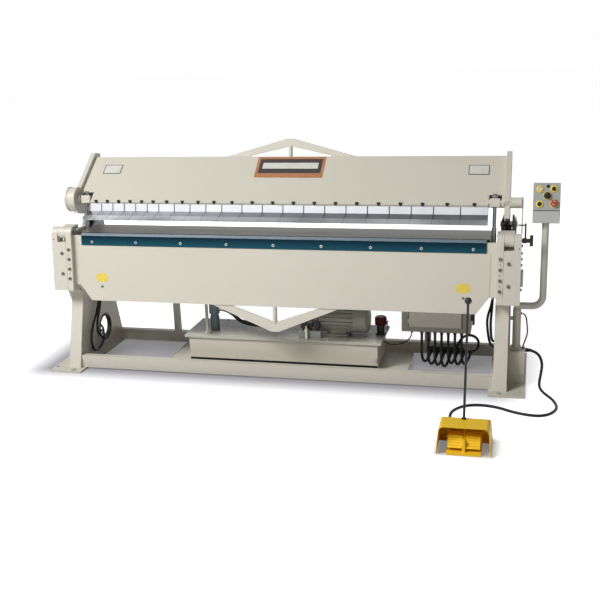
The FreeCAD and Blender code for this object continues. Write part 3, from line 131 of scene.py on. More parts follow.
# %% Short steps for colours, numbers and places
def mix_colours(tree, share, first, second):
    return add(tree, "Mix", {0: share, 6: first, 7: second}, data_type="RGBA").outputs[2]


def math_node(tree, operation, first, second, third=0.0, clamp=False):
    values = {0: first, 1: second, 2: third}
    return add(tree, "Math", values, operation=operation, use_clamp=clamp).outputs[0]


def stretch(tree, value, low, high, to_low=0.0, to_high=1.0):
    return add(tree, "MapRange", {0: value, 1: low, 2: high, 3: to_low, 4: to_high}).outputs[0]


def object_place(tree):
    return add(tree, "TexCoord").outputs["Object"]


def along_axis(tree, place, axis):
    return add(tree, "SeparateXYZ", {0: place}).outputs[axis]


def noise(tree, place, scale, detail, roughness=0.5):
    values = {"Vector": place, "Scale": scale, "Detail": detail, "Roughness": roughness}
    return add(tree, "TexNoise", values).outputs["Fac"]


print("short steps ready")

# %% [markdown]
# ## Shared effects
# The same few things happen to most surfaces of a workshop machine, so each is a node group
# that is made once and placed with its own numbers in each material.
# Worn edge: the Bevel node gives the normal that a softened edge would have. Where it leaves the
# flat normal there is an edge, and there paint thins and steel turns bright.

# %% Group: worn edge
def worn_edge_group():
    tree, start, end = new_group(
        "Worn edge",
        [("Radius", "Float", 0.002), ("Patch size", "Float", 30.0), ("Amount", "Float", 0.5)],
        [("Mask", "Float"), ("Normal", "Vector")],
    )
    soft = add(tree, "Bevel", {"Radius": start["Radius"]}, samples=4)
    flat = add(tree, "NewGeometry")
    same = add(tree, "VectorMath", {0: soft.outputs[0], 1: flat.outputs["Normal"]}, operation="DOT_PRODUCT")
    edge = stretch(tree, same.outputs["Value"], 0.995, 0.9)
    patches = noise(tree, object_place(tree), start["Patch size"], 4.0)
    broken = math_node(tree, "MULTIPLY", edge, stretch(tree, patches, 0.45, 0.62))
    tree.links.new(math_node(tree, "MULTIPLY", broken, start["Amount"], clamp=True), end["Mask"])
    tree.links.new(soft.outputs[0], end["Normal"])
    return tree


worn_edge = worn_edge_group()
print("made", worn_edge.name)

# %% [markdown]
# Enamel skin: sprayed enamel is never quite flat. It has a fine orange peel, and its colour
# drifts a little over a large panel because the coat is thicker in one place than another.

# %% Group: enamel skin
def enamel_group():
    tree, start, end = new_group(
        "Enamel skin",
        [("Colour", "Color", (0.7, 0.7, 0.6, 1)), ("Thin colour", "Color", (0.6, 0.6, 0.5, 1)),
         ("Drift", "Float", 0.35), ("Peel size", "Float", 420.0), ("Roughness", "Float", 0.4)],
        [("Colour", "Color"), ("Roughness", "Float"), ("Height", "Float")],
    )
    place = object_place(tree)
    clouds = stretch(tree, noise(tree, place, 1.7, 5.0, 0.55), 0.3, 0.7)
    share = math_node(tree, "MULTIPLY", clouds, start["Drift"])
    tree.links.new(mix_colours(tree, share, start["Colour"], start["Thin colour"]), end["Colour"])
    tree.links.new(noise(tree, place, start["Peel size"], 2.0), end["Height"])
    smear = stretch(tree, noise(tree, place, 9.0, 6.0, 0.6), 0.3, 0.7, -0.05, 0.07)
    tree.links.new(math_node(tree, "ADD", start["Roughness"], smear), end["Roughness"])
    return tree


enamel = enamel_group()
print("made", enamel.name)

# %% [markdown]
# Settled dust: workshop dust lies on what faces up, and near the floor it also clings to the
# sides. The group reads the surface's own normal, so the dust turns with the piece.

# %% Group: settled dust
def dust_group():
    tree, start, end = new_group(
        "Settled dust",
        [("Amount", "Float", 0.4), ("Floor reach", "Float", 0.12), ("Floor amount", "Float", 0.3)],
        [("Mask", "Float")],
    )
    place = object_place(tree)
    upward = along_axis(tree, add(tree, "TexCoord").outputs["Normal"], "Z")
    patchy = stretch(tree, noise(tree, place, 24.0, 8.0, 0.7), 0.38, 0.66)
    on_top = math_node(tree, "MULTIPLY", stretch(tree, upward, 0.86, 0.99), start["Amount"])
    height = math_node(tree, "DIVIDE", along_axis(tree, place, "Z"), start["Floor reach"])
    low = math_node(tree, "SUBTRACT", 1.0, height, clamp=True)
    by_floor = math_node(tree, "MULTIPLY", low, start["Floor amount"])
    both = math_node(tree, "ADD", on_top, by_floor, clamp=True)
    tree.links.new(math_node(tree, "MULTIPLY", both, patchy, clamp=True), end["Mask"])
    return tree


dust = dust_group()
print("made", dust.name)

# %% [markdown]
# Ground lines: a surface grinder leaves thousands of fine lines one way, here along the bed.
# Noise squeezed hard along one axis gives them: scale is low along the lines, high across.

# %% Group: ground lines
def ground_lines_group():
    tree, start, end = new_group(
        "Ground lines",
        [("Along", "Vector", (2.0, 500.0, 500.0)), ("Depth", "Float", 0.5), ("Roughness", "Float", 0.3),
         ("Cloud size", "Float", 6.0)],
        [("Value", "Float"), ("Roughness", "Float"), ("Height", "Float")],
    )
    place = object_place(tree)
    squeezed = add(tree, "VectorMath", {0: place, 1: start["Along"]}, operation="MULTIPLY").outputs[0]
    lines = noise(tree, squeezed, 1.0, 3.0, 0.6)
    clouds = stretch(tree, noise(tree, place, start["Cloud size"], 6.0, 0.65), 0.3, 0.7, 0.0, 0.5)
    fine = math_node(tree, "MULTIPLY", lines, start["Depth"])
    tree.links.new(math_node(tree, "ADD", fine, clouds, clamp=True), end["Value"])
    tree.links.new(lines, end["Height"])
    uneven = stretch(tree, lines, 0.3, 0.7, -0.06, 0.08)
    tree.links.new(math_node(tree, "ADD", start["Roughness"], uneven), end["Roughness"])
    return tree


ground_lines = ground_lines_group()
print("made", ground_lines.name)

# %% [markdown]
# Mottle: moulded plastic and rubber have a grain with no direction. One group gives a colour
# mask, a roughness and a height from noise at two sizes.

# %% Group: mottle
def mottle_group():
    tree, start, end = new_group(
        "Mottle",
        [("Grain size", "Float", 500.0), ("Patch size", "Float", 30.0), ("Roughness", "Float", 0.5),
         ("Spread", "Float", 0.12)],
        [("Patches", "Float"), ("Roughness", "Float"), ("Height", "Float")],
    )
    place = object_place(tree)
    patches = stretch(tree, noise(tree, place, start["Patch size"], 7.0, 0.62), 0.35, 0.65)
    tree.links.new(patches, end["Patches"])
    tree.links.new(noise(tree, place, start["Grain size"], 3.0), end["Height"])
    centred = math_node(tree, "SUBTRACT", patches, 0.5)
    rough = math_node(tree, "MULTIPLY_ADD", centred, start["Spread"], start["Roughness"])
    tree.links.new(rough, end["Roughness"])
    return tree


mottle = mottle_group()
print("made", mottle.name)

# %% [markdown]
# ## Steps of every recipe
# Each material starts as a plain shader, places some of the groups and ends in one Bump node,
# so these three steps are written once and every recipe uses them.

# %% Start, groups and end of a material
def shell_material(name):
    material = bpy.data.materials.new(name)
    material.use_nodes = True
    tree = material.node_tree
    return material, tree, tree.nodes["Principled BSDF"]


def place_group(tree, group, values):
    return add(tree, "Group", values, node_tree=group).outputs


def finish_surface(tree, shader, colour, roughness, height, strength, distance, normal):
    values = {"Height": height, "Strength": strength, "Distance": distance, "Normal": normal}
    bump = add(tree, "Bump", values)
    tree.links.new(colour, shader.inputs["Base Color"])
    tree.links.new(roughness, shader.inputs["Roughness"])
    tree.links.new(bump.outputs[0], shader.inputs["Normal"])


print("recipe steps ready")

# %% [markdown]
# ## Enamel
# Most of the machine wears the same satin cream enamel. The material stacks the skin, the
# dust and the worn edges into Base Color, and feeds the peel and the softened edge normal into
# the Bump node. Dust also makes the paint duller.

# %% Recipe: enamel
bare_metal, pale_dust = (0.3, 0.29, 0.27, 1), (0.45, 0.43, 0.38, 1)
peel_height, dust_dulls = 0.0006, 0.35


def enamel_material(name, colour, thin, rough=0.4, dusty=0.25, worn=0.25, floor=0.25, edge=0.002, gloss=0.5):
    material, tree, shader = shell_material(name)
    skin = place_group(tree, enamel, {"Colour": (*colour, 1), "Thin colour": (*thin, 1), "Roughness": rough})
    settled = place_group(tree, dust, {"Amount": dusty, "Floor amount": floor})
    edges = place_group(tree, worn_edge, {"Radius": edge, "Amount": worn})
    dusted = mix_colours(tree, settled["Mask"], skin["Colour"], pale_dust)
    worn_paint = mix_colours(tree, edges["Mask"], dusted, bare_metal)
    dull = math_node(tree, "MULTIPLY_ADD", settled["Mask"], dust_dulls, skin["Roughness"])
    finish_surface(tree, shader, worn_paint, dull, skin["Height"], 0.12, peel_height, edges["Normal"])
    shader.inputs["IOR"].default_value = 1.48
    shader.inputs["Specular IOR Level"].default_value = gloss
    return material


print("enamel recipe ready")

# %% [markdown]
# The painted pieces all use that recipe. Each has a colour, the tone it takes where the coat is
# thin, and its own amounts of gloss, dust and wear.

# %% Painted finishes
finishes = {
    "cream_paint": enamel_material("cream_enamel", (0.66, 0.63, 0.535), (0.60, 0.57, 0.475)),
    "yellow_paint": enamel_material("yellow_enamel", (1.0, 0.64, 0.012), (0.93, 0.55, 0.010), rough=0.42,
                                    dusty=0.0, worn=0.25, floor=0.1, gloss=0.3),
    "pendant_grey": enamel_material("pendant_enamel", (0.40, 0.41, 0.38), (0.35, 0.36, 0.33), rough=0.42,
                                    dusty=0.15, worn=0.2),
    "motor_paint": enamel_material("motor_enamel", (0.40, 0.40, 0.33), (0.32, 0.325, 0.265), rough=0.5,
                                   dusty=0.25, worn=0.3),
    "name_plate": enamel_material("name_plate", (0.030, 0.020, 0.016), (0.045, 0.030, 0.024), rough=0.3,
                                  dusty=0.15, worn=0.2, floor=0.0, edge=0.001),
    "grey_metal": enamel_material("grey_enamel", (0.33, 0.34, 0.31), (0.27, 0.28, 0.26), rough=0.45,
                                  dusty=0.3, worn=0.35),
    "filter_blue": enamel_material("filter_enamel", (0.17, 0.205, 0.235), (0.12, 0.15, 0.175), rough=0.35,
                                   dusty=0.3, worn=0.2),
    "blackened_steel": enamel_material("black_enamel", (0.010, 0.010, 0.010), (0.018, 0.018, 0.018),
                                       rough=0.3, dusty=0.05, worn=0.2, floor=0.1, edge=0.001, gloss=0.3),
    "enclosure_paint": enamel_material("enclosure_enamel", (0.40, 0.38, 0.325), (0.36, 0.34, 0.29)),
    "door_paint": enamel_material("door_enamel", (0.74, 0.70, 0.60), (0.70, 0.66, 0.56)),
    "pale_grey": enamel_material("pale_grey_enamel", (0.52, 0.53, 0.51), (0.47, 0.48, 0.46), rough=0.42,
                                 dusty=0.05, worn=0.2),
}
print("painted finishes", len(finishes))

# %% [markdown]
# Two painted pieces change colour over their own width. The tank lid is painted dark towards its
# back as painted shade under the bed, and the blue strip is darker towards its upper edge. Both
# blend two colours along one axis, so one recipe takes the blend as a step.

# %% Recipe: blended enamel
shade_front, shade_back, shade_wander = -0.005, 0.155, 0.05
strip_low, strip_high = 0.800, 0.842


# painted shade: the lid turns dark towards its back, with a ragged edge from noise
def painted_shade_to_back(tree, place):
    ragged_edge = stretch(tree, noise(tree, place, 5.0, 6.0, 0.6), 0.3, 0.7, -shade_wander, shade_wander)
    back = math_node(tree, "ADD", along_axis(tree, place, "Y"), ragged_edge)
    return stretch(tree, back, shade_front, shade_back)


def strip_rise(tree, place):
    return stretch(tree, along_axis(tree, place, "Z"), strip_low, strip_high)


def blended_material(name, share_of, first, second, worn, rough, gloss):
    material, tree, shader = shell_material(name)
    skin = place_group(tree, enamel, {"Roughness": rough})
    edges = place_group(tree, worn_edge, {"Radius": 0.002, "Amount": 0.3})
    share = share_of(tree, object_place(tree))
    blended = mix_colours(tree, share, (*first, 1), (*second, 1))
    colour = mix_colours(tree, edges["Mask"], blended, (*worn, 1))
    dull, peel = skin["Roughness"], skin["Height"]
    finish_surface(tree, shader, colour, dull, peel, 0.1, peel_height, edges["Normal"])
    shader.inputs["Specular IOR Level"].default_value = gloss
    return material


finishes["lid_painted_shade"] = blended_material("lid_painted_shade", painted_shade_to_back, (0.58, 0.565, 0.49), (0.036, 0.041, 0.041),
                                        worn=(0.40, 0.39, 0.35), rough=0.36, gloss=0.15)
finishes["blue_paint"] = blended_material("blue_enamel", strip_rise, (0.010, 0.075, 0.110),
                                          (0.0015, 0.022, 0.038), worn=(0.20, 0.24, 0.26), rough=0.45,
                                          gloss=0.08)
print("blended finishes lid_painted_shade and blue_paint")

# %% [markdown]
# ## Bare steel
# Fingers, folding bar and rods are ground bright, the bed top is dark rolled steel. Metal needs
# Metallic near one, and its look comes from how rough it is and which way its lines run.

# %% Recipe: ground steel
bright_edge = (0.75, 0.75, 0.74)


def steel_surface(name, body, along, rough, clouds=6.0, worn=0.8, worn_colour=bright_edge, metallic=1.0):
    # body is a step that turns the value of the lines into a colour
    material, tree, shader = shell_material(name)
    lines = place_group(tree, ground_lines, {"Along": along, "Roughness": rough, "Cloud size": clouds})
    edges = place_group(tree, worn_edge, {"Radius": 0.001, "Amount": worn})
    colour = mix_colours(tree, edges["Mask"], body(tree, lines["Value"]), (*worn_colour, 1))
    finish_surface(tree, shader, colour, lines["Roughness"], lines["Height"], 0.06, 0.0004, edges["Normal"])
    shader.inputs["Metallic"].default_value = metallic
    return material


def two_tones(bright, dull):
    return lambda tree, value: mix_colours(tree, value, (*bright, 1), (*dull, 1))


finishes["ground_steel"] = steel_surface(
    "ground_steel", two_tones((0.62, 0.63, 0.64), (0.42, 0.43, 0.45)), (3.0, 600.0, 600.0), 0.30)
finishes["folding_steel"] = steel_surface(
    "folding_steel", two_tones((0.13, 0.17, 0.195), (0.085, 0.115, 0.135)), (2.0, 400.0, 400.0), 0.55,
    clouds=3.0, metallic=0.35)
finishes["zinc_steel"] = steel_surface(
    "zinc_plate", two_tones((0.55, 0.54, 0.50), (0.38, 0.37, 0.35)), (120.0, 120.0, 60.0), 0.34, clouds=40.0)
finishes["rod_steel"] = steel_surface(
    "rod_steel", two_tones((0.22, 0.22, 0.21), (0.13, 0.13, 0.125)), (150.0, 150.0, 30.0), 0.30, clouds=30.0)
finishes["brass"] = steel_surface(
    "brass", two_tones((0.62, 0.44, 0.17), (0.45, 0.31, 0.12)), (200.0, 200.0, 30.0), 0.3, clouds=60.0)
finishes["copper"] = steel_surface(
    "copper", two_tones((0.50, 0.24, 0.13), (0.36, 0.16, 0.08)), (150.0, 150.0, 150.0), 0.32, clouds=50.0)
finishes["dark_steel"] = steel_surface(
    "oiled_steel", two_tones((0.15, 0.155, 0.15), (0.07, 0.075, 0.07)), (60.0, 60.0, 60.0), 0.42,
    clouds=25.0, metallic=0.6)
print("steels ready")

# %% [markdown]
# The bed top is rolled steel, and it is dark along its front edge, where it was sawn. Its lines
# are coarser than those of a ground face.

# %% Recipe: rolled steel of the bed
sawn_front, sawn_back = -0.129, -0.124


def bed_colour(tree, value):
    top = two_tones((0.30, 0.295, 0.275), (0.19, 0.185, 0.17))(tree, value)
    sawn = stretch(tree, along_axis(tree, object_place(tree), "Y"), sawn_front, sawn_back)
    return mix_colours(tree, sawn, (0.02, 0.022, 0.022, 1), top)


finishes["bed_steel"] = steel_surface("rolled_steel", bed_colour, (1.0, 160.0, 160.0), 0.44, clouds=3.0,
                                      worn_colour=(0.30, 0.30, 0.29), metallic=0.7)
print("bed steel ready")

# %% [markdown]
# The fingers are ground bright on their upper face. The slope under it is painted dark as painted
# shade, from where the clamping step starts, and the long nose gets broad soft clouds of painted
# reflection. The beam stands raised, so the place is first turned back to how the fingers were ground.

# %% Recipe: finger steel
nose_top, step_foot = 0.8955, 0.8985
step_top, face_foot = 0.9260, 0.9272
beam_hinge = joint_of["beam_close"]["pos_m"]


def shut_place(tree):
    values = {0: object_place(tree), "Center": beam_hinge, "Angle": math.radians(beam_raised)}
    return add(tree, "VectorRotate", values, rotation_type="X_AXIS").outputs[0]


def finger_colour(tree, value):
    ground_place = shut_place(tree)
    rise = along_axis(tree, ground_place, "Z")
    along_bed = {0: ground_place, 1: (1.0, 0.0, 0.0)}
    flat_place = add(tree, "VectorMath", along_bed, operation="MULTIPLY").outputs[0]
    # painted reflection: broad clouds along the bed on the nose
    clouds = stretch(tree, noise(tree, flat_place, 2.2, 1.0), 0.36, 0.64)
    nose_reflection = two_tones((0.18, 0.185, 0.195), (0.38, 0.39, 0.41))(tree, clouds)
    # painted shade on the slope under the upright face
    slope_shade = two_tones((0.15, 0.16, 0.17), (0.10, 0.105, 0.115))(tree, value)
    bright = two_tones((0.66, 0.67, 0.69), (0.50, 0.51, 0.53))(tree, value)
    slopes = mix_colours(tree, stretch(tree, rise, nose_top, step_foot), nose_reflection, slope_shade)
    return mix_colours(tree, stretch(tree, rise, step_top, face_foot), slopes, bright)


finishes["finger_steel"] = steel_surface("finger_steel", finger_colour, (3.0, 600.0, 600.0), 0.34, worn=0.7,
                                         metallic=0.9)
print("finger steel ready")

# %% [markdown]
# ## Plastic and rubber
# Knobs, buttons and cable sleeves are moulded. They have no lines, but a fine grain from the
# mould and a roughness that drifts where hands polish them.

# %% Recipe: moulded plastic and rubber
def moulded_material(name, colour, second, rough, grain=500.0, bump=0.08, coat=0.0, gloss=0.5):
    material, tree, shader = shell_material(name)
    marks = place_group(tree, mottle, {"Grain size": grain, "Roughness": rough})
    edges = place_group(tree, worn_edge, {"Radius": 0.0008, "Amount": 0.35})
    body_colour = mix_colours(tree, marks["Patches"], (*colour, 1), (*second, 1))
    lighter = tuple(min(1.0, 1.5 * channel + 0.02) for channel in colour)
    tinted = mix_colours(tree, edges["Mask"], body_colour, (*lighter, 1))
    finish_surface(tree, shader, tinted, marks["Roughness"], marks["Height"], bump, 0.0003, edges["Normal"])
    shader.inputs["Coat Weight"].default_value = coat
    shader.inputs["Coat Roughness"].default_value = 0.12
    shader.inputs["Specular IOR Level"].default_value = gloss
    return material


finishes["black_plastic"] = moulded_material("black_plastic", (0.005, 0.005, 0.005), (0.010, 0.010, 0.010),
                                             0.38, gloss=0.3)
finishes["black_rubber"] = moulded_material("black_rubber", (0.005, 0.006, 0.006), (0.010, 0.012, 0.012),
                                            0.45, grain=300.0, bump=0.15, gloss=0.2)
finishes["red_plastic"] = moulded_material("red_plastic", (0.34, 0.012, 0.010), (0.27, 0.010, 0.008), 0.34,
                                           coat=0.1)
finishes["cap_plastic"] = moulded_material("cap_plastic", (0.085, 0.006, 0.003), (0.06, 0.004, 0.002), 0.45,
                                           gloss=0.12)
finishes["yellow_plastic"] = moulded_material("yellow_plastic", (0.83, 0.64, 0.09), (0.76, 0.56, 0.07), 0.4)
finishes["pale_plastic"] = moulded_material("pale_plastic", (0.72, 0.72, 0.66), (0.62, 0.62, 0.57), 0.3)
print("finishes", len(finishes))

# %% [markdown]
# ## Smooth shading
# The round stretches of the solids have flat sides. A small geometry tree joins the doubled
# points and shades every edge smooth that bends less than about a third of a right angle.

# %% Shading by angle
def shade_tree(degrees):
    tree = bpy.data.node_groups.new("Shade by angle", "GeometryNodeTree")
    tree.interface.new_socket(name="Geometry", in_out="INPUT", socket_type="NodeSocketGeometry")
    tree.interface.new_socket(name="Geometry", in_out="OUTPUT", socket_type="NodeSocketGeometry")
    start = tree.nodes.new("NodeGroupInput")
    end = tree.nodes.new("NodeGroupOutput")
    weld = tree.nodes.new("GeometryNodeMergeByDistance")
    weld.inputs["Distance"].default_value = 0.00001
    bend = tree.nodes.new("GeometryNodeInputMeshEdgeAngle")
    gentle = tree.nodes.new("FunctionNodeCompare")
    gentle.operation = "LESS_THAN"
    gentle.inputs[1].default_value = math.radians(degrees)
    edges = tree.nodes.new("GeometryNodeSetShadeSmooth")
    edges.domain = "EDGE"
    faces = tree.nodes.new("GeometryNodeSetShadeSmooth")
    tree.links.new(start.outputs[0], weld.inputs["Geometry"])
    tree.links.new(weld.outputs["Geometry"], faces.inputs["Geometry"])
    tree.links.new(faces.outputs["Geometry"], edges.inputs["Geometry"])
    tree.links.new(bend.outputs["Unsigned Angle"], gentle.inputs[0])
    tree.links.new(gentle.outputs[0], edges.inputs["Shade Smooth"])
    tree.links.new(edges.outputs["Geometry"], end.inputs[0])
    return tree


by_angle = shade_tree(31)
print("made", by_angle.name)

# %% [markdown]
# ## Finishes onto the solids
# The record names one finish for each sub-part, so the solids take theirs from it, and a few
# have one of their own, among them the ground steels and the tank lid, which is painted darker
# towards its back as painted shade. A weighted normal keeps the large flat faces flat.

# %% Give each sub-part its finish
slot_of = {part["node"]: part["material_slot"] for part in frame["record"]["subparts"]}
own_finish = {"fingers": "finger_steel", "folding_bar": "folding_steel", "clamp_rods": "rod_steel",
              "tank_lid": "lid_painted_shade", "filler_cap": "cap_plastic", "enclosure": "enclosure_paint",
              "enclosure_door": "door_paint"}
for name, obj in nodes.items():
    obj.data.materials.clear()
    obj.data.materials.append(finishes[own_finish.get(name, slot_of[name])])
    obj.modifiers.new("Shade by angle", "NODES").node_group = by_angle
    obj.modifiers.new("Even normals", "WEIGHTED_NORMAL").keep_sharp = True
print("dressed", len(nodes), "sub-parts")

# %% [markdown]
# ## Floor and light
# The picture was taken in a white studio. Under the machine the floor is painted grey and its glow
# is kept low, as painted shade, and a little way out it turns pale. Where the camera or a shiny
# face looks at it, the pale part glows, so it runs into the white world. Two steps come first: one
# picks the rays that see the background, the other measures how far a point of the floor lies
# outside a rectangle.

# %% Steps for the studio
def background_rays(tree):
    seen = add(tree, "LightPath")
    rays = math_node(tree, "ADD", seen.outputs["Is Camera Ray"], seen.outputs["Is Glossy Ray"])
    return math_node(tree, "ADD", rays, seen.outputs["Is Transmission Ray"], clamp=True)


def away_from(tree, place, middle, half):
    centred = add(tree, "VectorMath", {0: place, 1: middle}, operation="SUBTRACT").outputs[0]
    size = add(tree, "VectorMath", {0: centred}, operation="ABSOLUTE").outputs[0]
    over = add(tree, "VectorMath", {0: size, 1: half}, operation="SUBTRACT").outputs[0]
    outside = add(tree, "VectorMath", {0: over, 1: (0, 0, 0)}, operation="MAXIMUM").outputs[0]
    return add(tree, "VectorMath", {0: outside}, operation="LENGTH").outputs["Value"]


print("studio steps ready")

# %% [markdown]
# The floor is one large sheet just under the feet. Two rectangles, one under the machine and
# one under the foot switch, are painted grey as painted shade, and the colour fades to white over a short
# way.

# %% Floor
shade_under_machine = ((-0.11, 0.07, 0.0), (1.39, 0.31, 1.0))
shade_under_switch = ((1.174, -0.975, 0.0), (0.12, 0.08, 1.0))
machine_fade, switch_fade = 0.26, 0.06


def studio_floor():
    mesh = bpy.data.meshes.new("studio_floor")
    half = 40.0
    corners = [(-half, -half, 0), (half, -half, 0), (half, half, 0), (-half, half, 0)]
    mesh.from_pydata(corners, [], [(0, 1, 2, 3)])
    floor = bpy.data.objects.new("studio_floor", mesh)
    scene.collection.objects.link(floor)
    floor.location.z = -0.0005
    material, tree, shader = shell_material("studio_floor")
    shader.inputs["Roughness"].default_value = 0.9
    shader.inputs["Specular IOR Level"].default_value = 0.1
    place = object_place(tree)
    grain = noise(tree, place, 3.0, 4.0)
    pale = mix_colours(tree, grain, (0.80, 0.80, 0.82, 1), (0.83, 0.83, 0.85, 1))
    # painted shade: the floor is grey inside the two rectangles
    shaded = mix_colours(tree, grain, (0.235, 0.225, 0.262, 1), (0.248, 0.238, 0.276, 1))
    machine = stretch(tree, away_from(tree, place, *shade_under_machine), 0.0, machine_fade)
    switch = stretch(tree, away_from(tree, place, *shade_under_switch), 0.0, switch_fade)
    out = math_node(tree, "MULTIPLY", machine, switch)
    tree.links.new(mix_colours(tree, out, shaded, pale), shader.inputs["Base Color"])
    # the glow is low inside the rectangles too, as part of the painted shade
    glow = stretch(tree, out, 0.0, 1.0, 0.19, 0.9)
    strength = math_node(tree, "MULTIPLY", background_rays(tree), glow)
    tree.links.new(strength, shader.inputs["Emission Strength"])
    shader.inputs["Emission Color"].default_value = (0.99, 0.99, 1.0, 1)
    mesh.materials.append(material)


studio_floor()
print("floor laid")

# %% [markdown]
# One broad lamp hangs high on the front left, because the left end of the machine is brighter.
# A low one lifts the upright faces, a weak one fills from the right, and one stands behind for
# whoever walks round it. The world is white where the camera sees it and dim for the light.

# %% World and lamps
def studio_world(ambient):
    world = bpy.data.worlds.new("studio")
    scene.world = world
    world.use_nodes = True
    tree = world.node_tree
    background = tree.nodes["Background"]
    background.inputs["Color"].default_value = (1, 1, 1, 1)
    strength = stretch(tree, background_rays(tree), 0.0, 1.0, ambient, 1.0)
    tree.links.new(strength, background.inputs["Strength"])


def studio_lamp(name, place, aim, size, power):
    data = bpy.data.lights.new(name, "AREA")
    data.shape = "RECTANGLE"
    data.size, data.size_y = size
    data.energy = power
    lamp = bpy.data.objects.new(name, data)
    scene.collection.objects.link(lamp)
    lamp.location = place
    lamp.rotation_euler = (Vector(aim) - Vector(place)).to_track_quat("-Z", "Y").to_euler()


studio_world(0.07)
studio_lamp("key_lamp", (-4.0, -5.0, 6.2), (-0.2, 0, 0.6), (3.2, 2.6), 625)
studio_lamp("low_lamp", (-1.6, -6.0, 0.9), (-0.2, 0, 0.5), (2.6, 1.2), 18)
studio_lamp("back_lamp", (-1.2, 5.2, 0.42), (0, 0.3, 0.6), (3.4, 0.7), 45)
studio_lamp("fill_lamp", (4.6, -4.4, 3.0), (0.6, 0, 0.6), (2.6, 2.2), 17)
print("studio lit")

# %% [markdown]
# ## Turning at the hinges
# Pieces on the beam are drawn as if it were shut, and pieces on the leaf as if it hung straight,
# because their places are easy to name there. One matrix for each then turns them to how the
# machine stands, about the hinge that the record gives.

# %% Turned places
def turned_about(joint, degrees):
    centre = Vector((0, *joint_of[joint]["pos_m"][1:]))
    turn = Matrix.Rotation(math.radians(degrees), 4, "X")
    return Matrix.Translation(centre) @ turn @ Matrix.Translation(-centre)


raised = turned_about("beam_close", -beam_raised)
leaning = turned_about("leaf_fold", -leaf_leaning)
level = Matrix.Identity(4)
hinge_y, bed_z = joint_of["leaf_fold"]["pos_m"][1:]
print("hinge at", round(hinge_y, 4), round(bed_z, 4))

# %% [markdown]
# A piece on a sloping face is drawn flat and then laid there by a matrix whose X runs across
# the face, whose Y runs up it and whose Z stands out of it.

# %% A matrix for a sloping face
def facing(place, across, up):
    across = Vector(across).normalized()
    up = Vector(up).normalized()
    out = across.cross(up)
    return Matrix((
        (across.x, up.x, out.x, place[0]),
        (across.y, up.y, out.y, place[1]),
        (across.z, up.z, out.z, place[2]),
        (0, 0, 0, 1),
    ))


print("face matrix ready")

# %% [markdown]
# ## Tools for small pieces
# Turned pieces, such as screws, knobs and caps, are made like on a lathe: an outline of lengths
# and radii is swept round an axis. Where a ring is marked as a hexagon its corners move in to
# six flats, which gives a socket its key hole.

# %% A lathe in mesh code
def circle(centre, side, other, radius, sides, hexagon=False):
    points = []
    for k in range(sides):
        turn = 2 * math.pi * k / sides
        reach = radius
        if hexagon:
            reach *= math.cos(math.pi / 6) / math.cos(turn % (math.pi / 3) - math.pi / 6)
        points.append(centre + side * (reach * math.cos(turn)) + other * (reach * math.sin(turn)))
    return points


def lathe(bm, start, direction, outline, sides=32):
    axis = Vector(direction).normalized()
    side = axis.orthogonal().normalized()
    other = axis.cross(side)
    rings = []
    for along, radius, *mark in outline:
        centre = Vector(start) + axis * along
        points = circle(centre, side, other, radius, sides, bool(mark)) if radius else [centre]
        rings.append([bm.verts.new(point) for point in points])
    for low, high in zip(rings, rings[1:]):
        for k in range(sides):
            around = ((low, k), (low, k + 1), (high, k + 1), (high, k))
            corners = list(dict.fromkeys(ring[step % len(ring)] for ring, step in around))
            if len(corners) > 2:
                bm.faces.new(corners)


print("lathe ready")

# %% [markdown]
# Three more shapes come back often. A cap screw is turned, with a key hole. A prism joins two
# rings of points, and with a rounded outline it gives the thin plates. A block is a box whose
# eight corners are counted near to far in X, then Y, then Z.

# %% Screws, prisms and blocks
box_faces = ((0, 1, 3, 2), (4, 6, 7, 5), (0, 4, 5, 1), (2, 3, 7, 6), (0, 2, 6, 4), (1, 5, 7, 3))


def socket_screw(bm, place, direction, radius, height):
    key = radius * 0.56
    lathe(bm, place, direction, [
        (-0.001, radius), (height * 0.82, radius), (height, radius * 0.88), (height, key * 1.1),
        (height * 0.98, key, "hexagon"), (height * 0.4, key, "hexagon"), (height * 0.35, 0),
    ], sides=24)


def box_of(bm, corners):
    verts = [bm.verts.new(corner) for corner in corners]
    for face in box_faces:
        bm.faces.new([verts[k] for k in face])


def block(bm, low, high):
    box_of(bm, [(x, y, z) for x in (low[0], high[0]) for y in (low[1], high[1]) for z in (low[2], high[2])])


def close_walls(bm, low, high):
    for k in range(len(low)):
        bm.faces.new([low[k - 1], low[k], high[k], high[k - 1]])


def prism(bm, low_points, high_points):
    low = [bm.verts.new(point) for point in low_points]
    high = [bm.verts.new(point) for point in high_points]
    bm.faces.new(low[::-1])
    bm.faces.new(high)
    close_walls(bm, low, high)


def rounded_plate(bm, place, width, height, thick, corner):
    # a plate in the place's own plane, standing out along its Z
    ring = []
    steps = 6
    for k in range(4):
        middle_x = (width / 2 - corner) * (1 if k in (0, 3) else -1)
        middle_y = (height / 2 - corner) * (1 if k in (0, 1) else -1)
        for step in range(steps + 1):
            turn = math.pi / 2 * (k + step / steps)
            ring.append((middle_x + corner * math.cos(turn), middle_y + corner * math.sin(turn)))
    prism(bm, [place @ Vector((x, y, 0)) for x, y in ring], [place @ Vector((x, y, thick)) for x, y in ring])


print("screws, prisms and blocks ready")

# %% [markdown]
# Each finished mesh becomes an object that rides on one body of the machine. Its sharp edges
# get a very small bevel, and where it stands for a solid, it takes that solid's place.

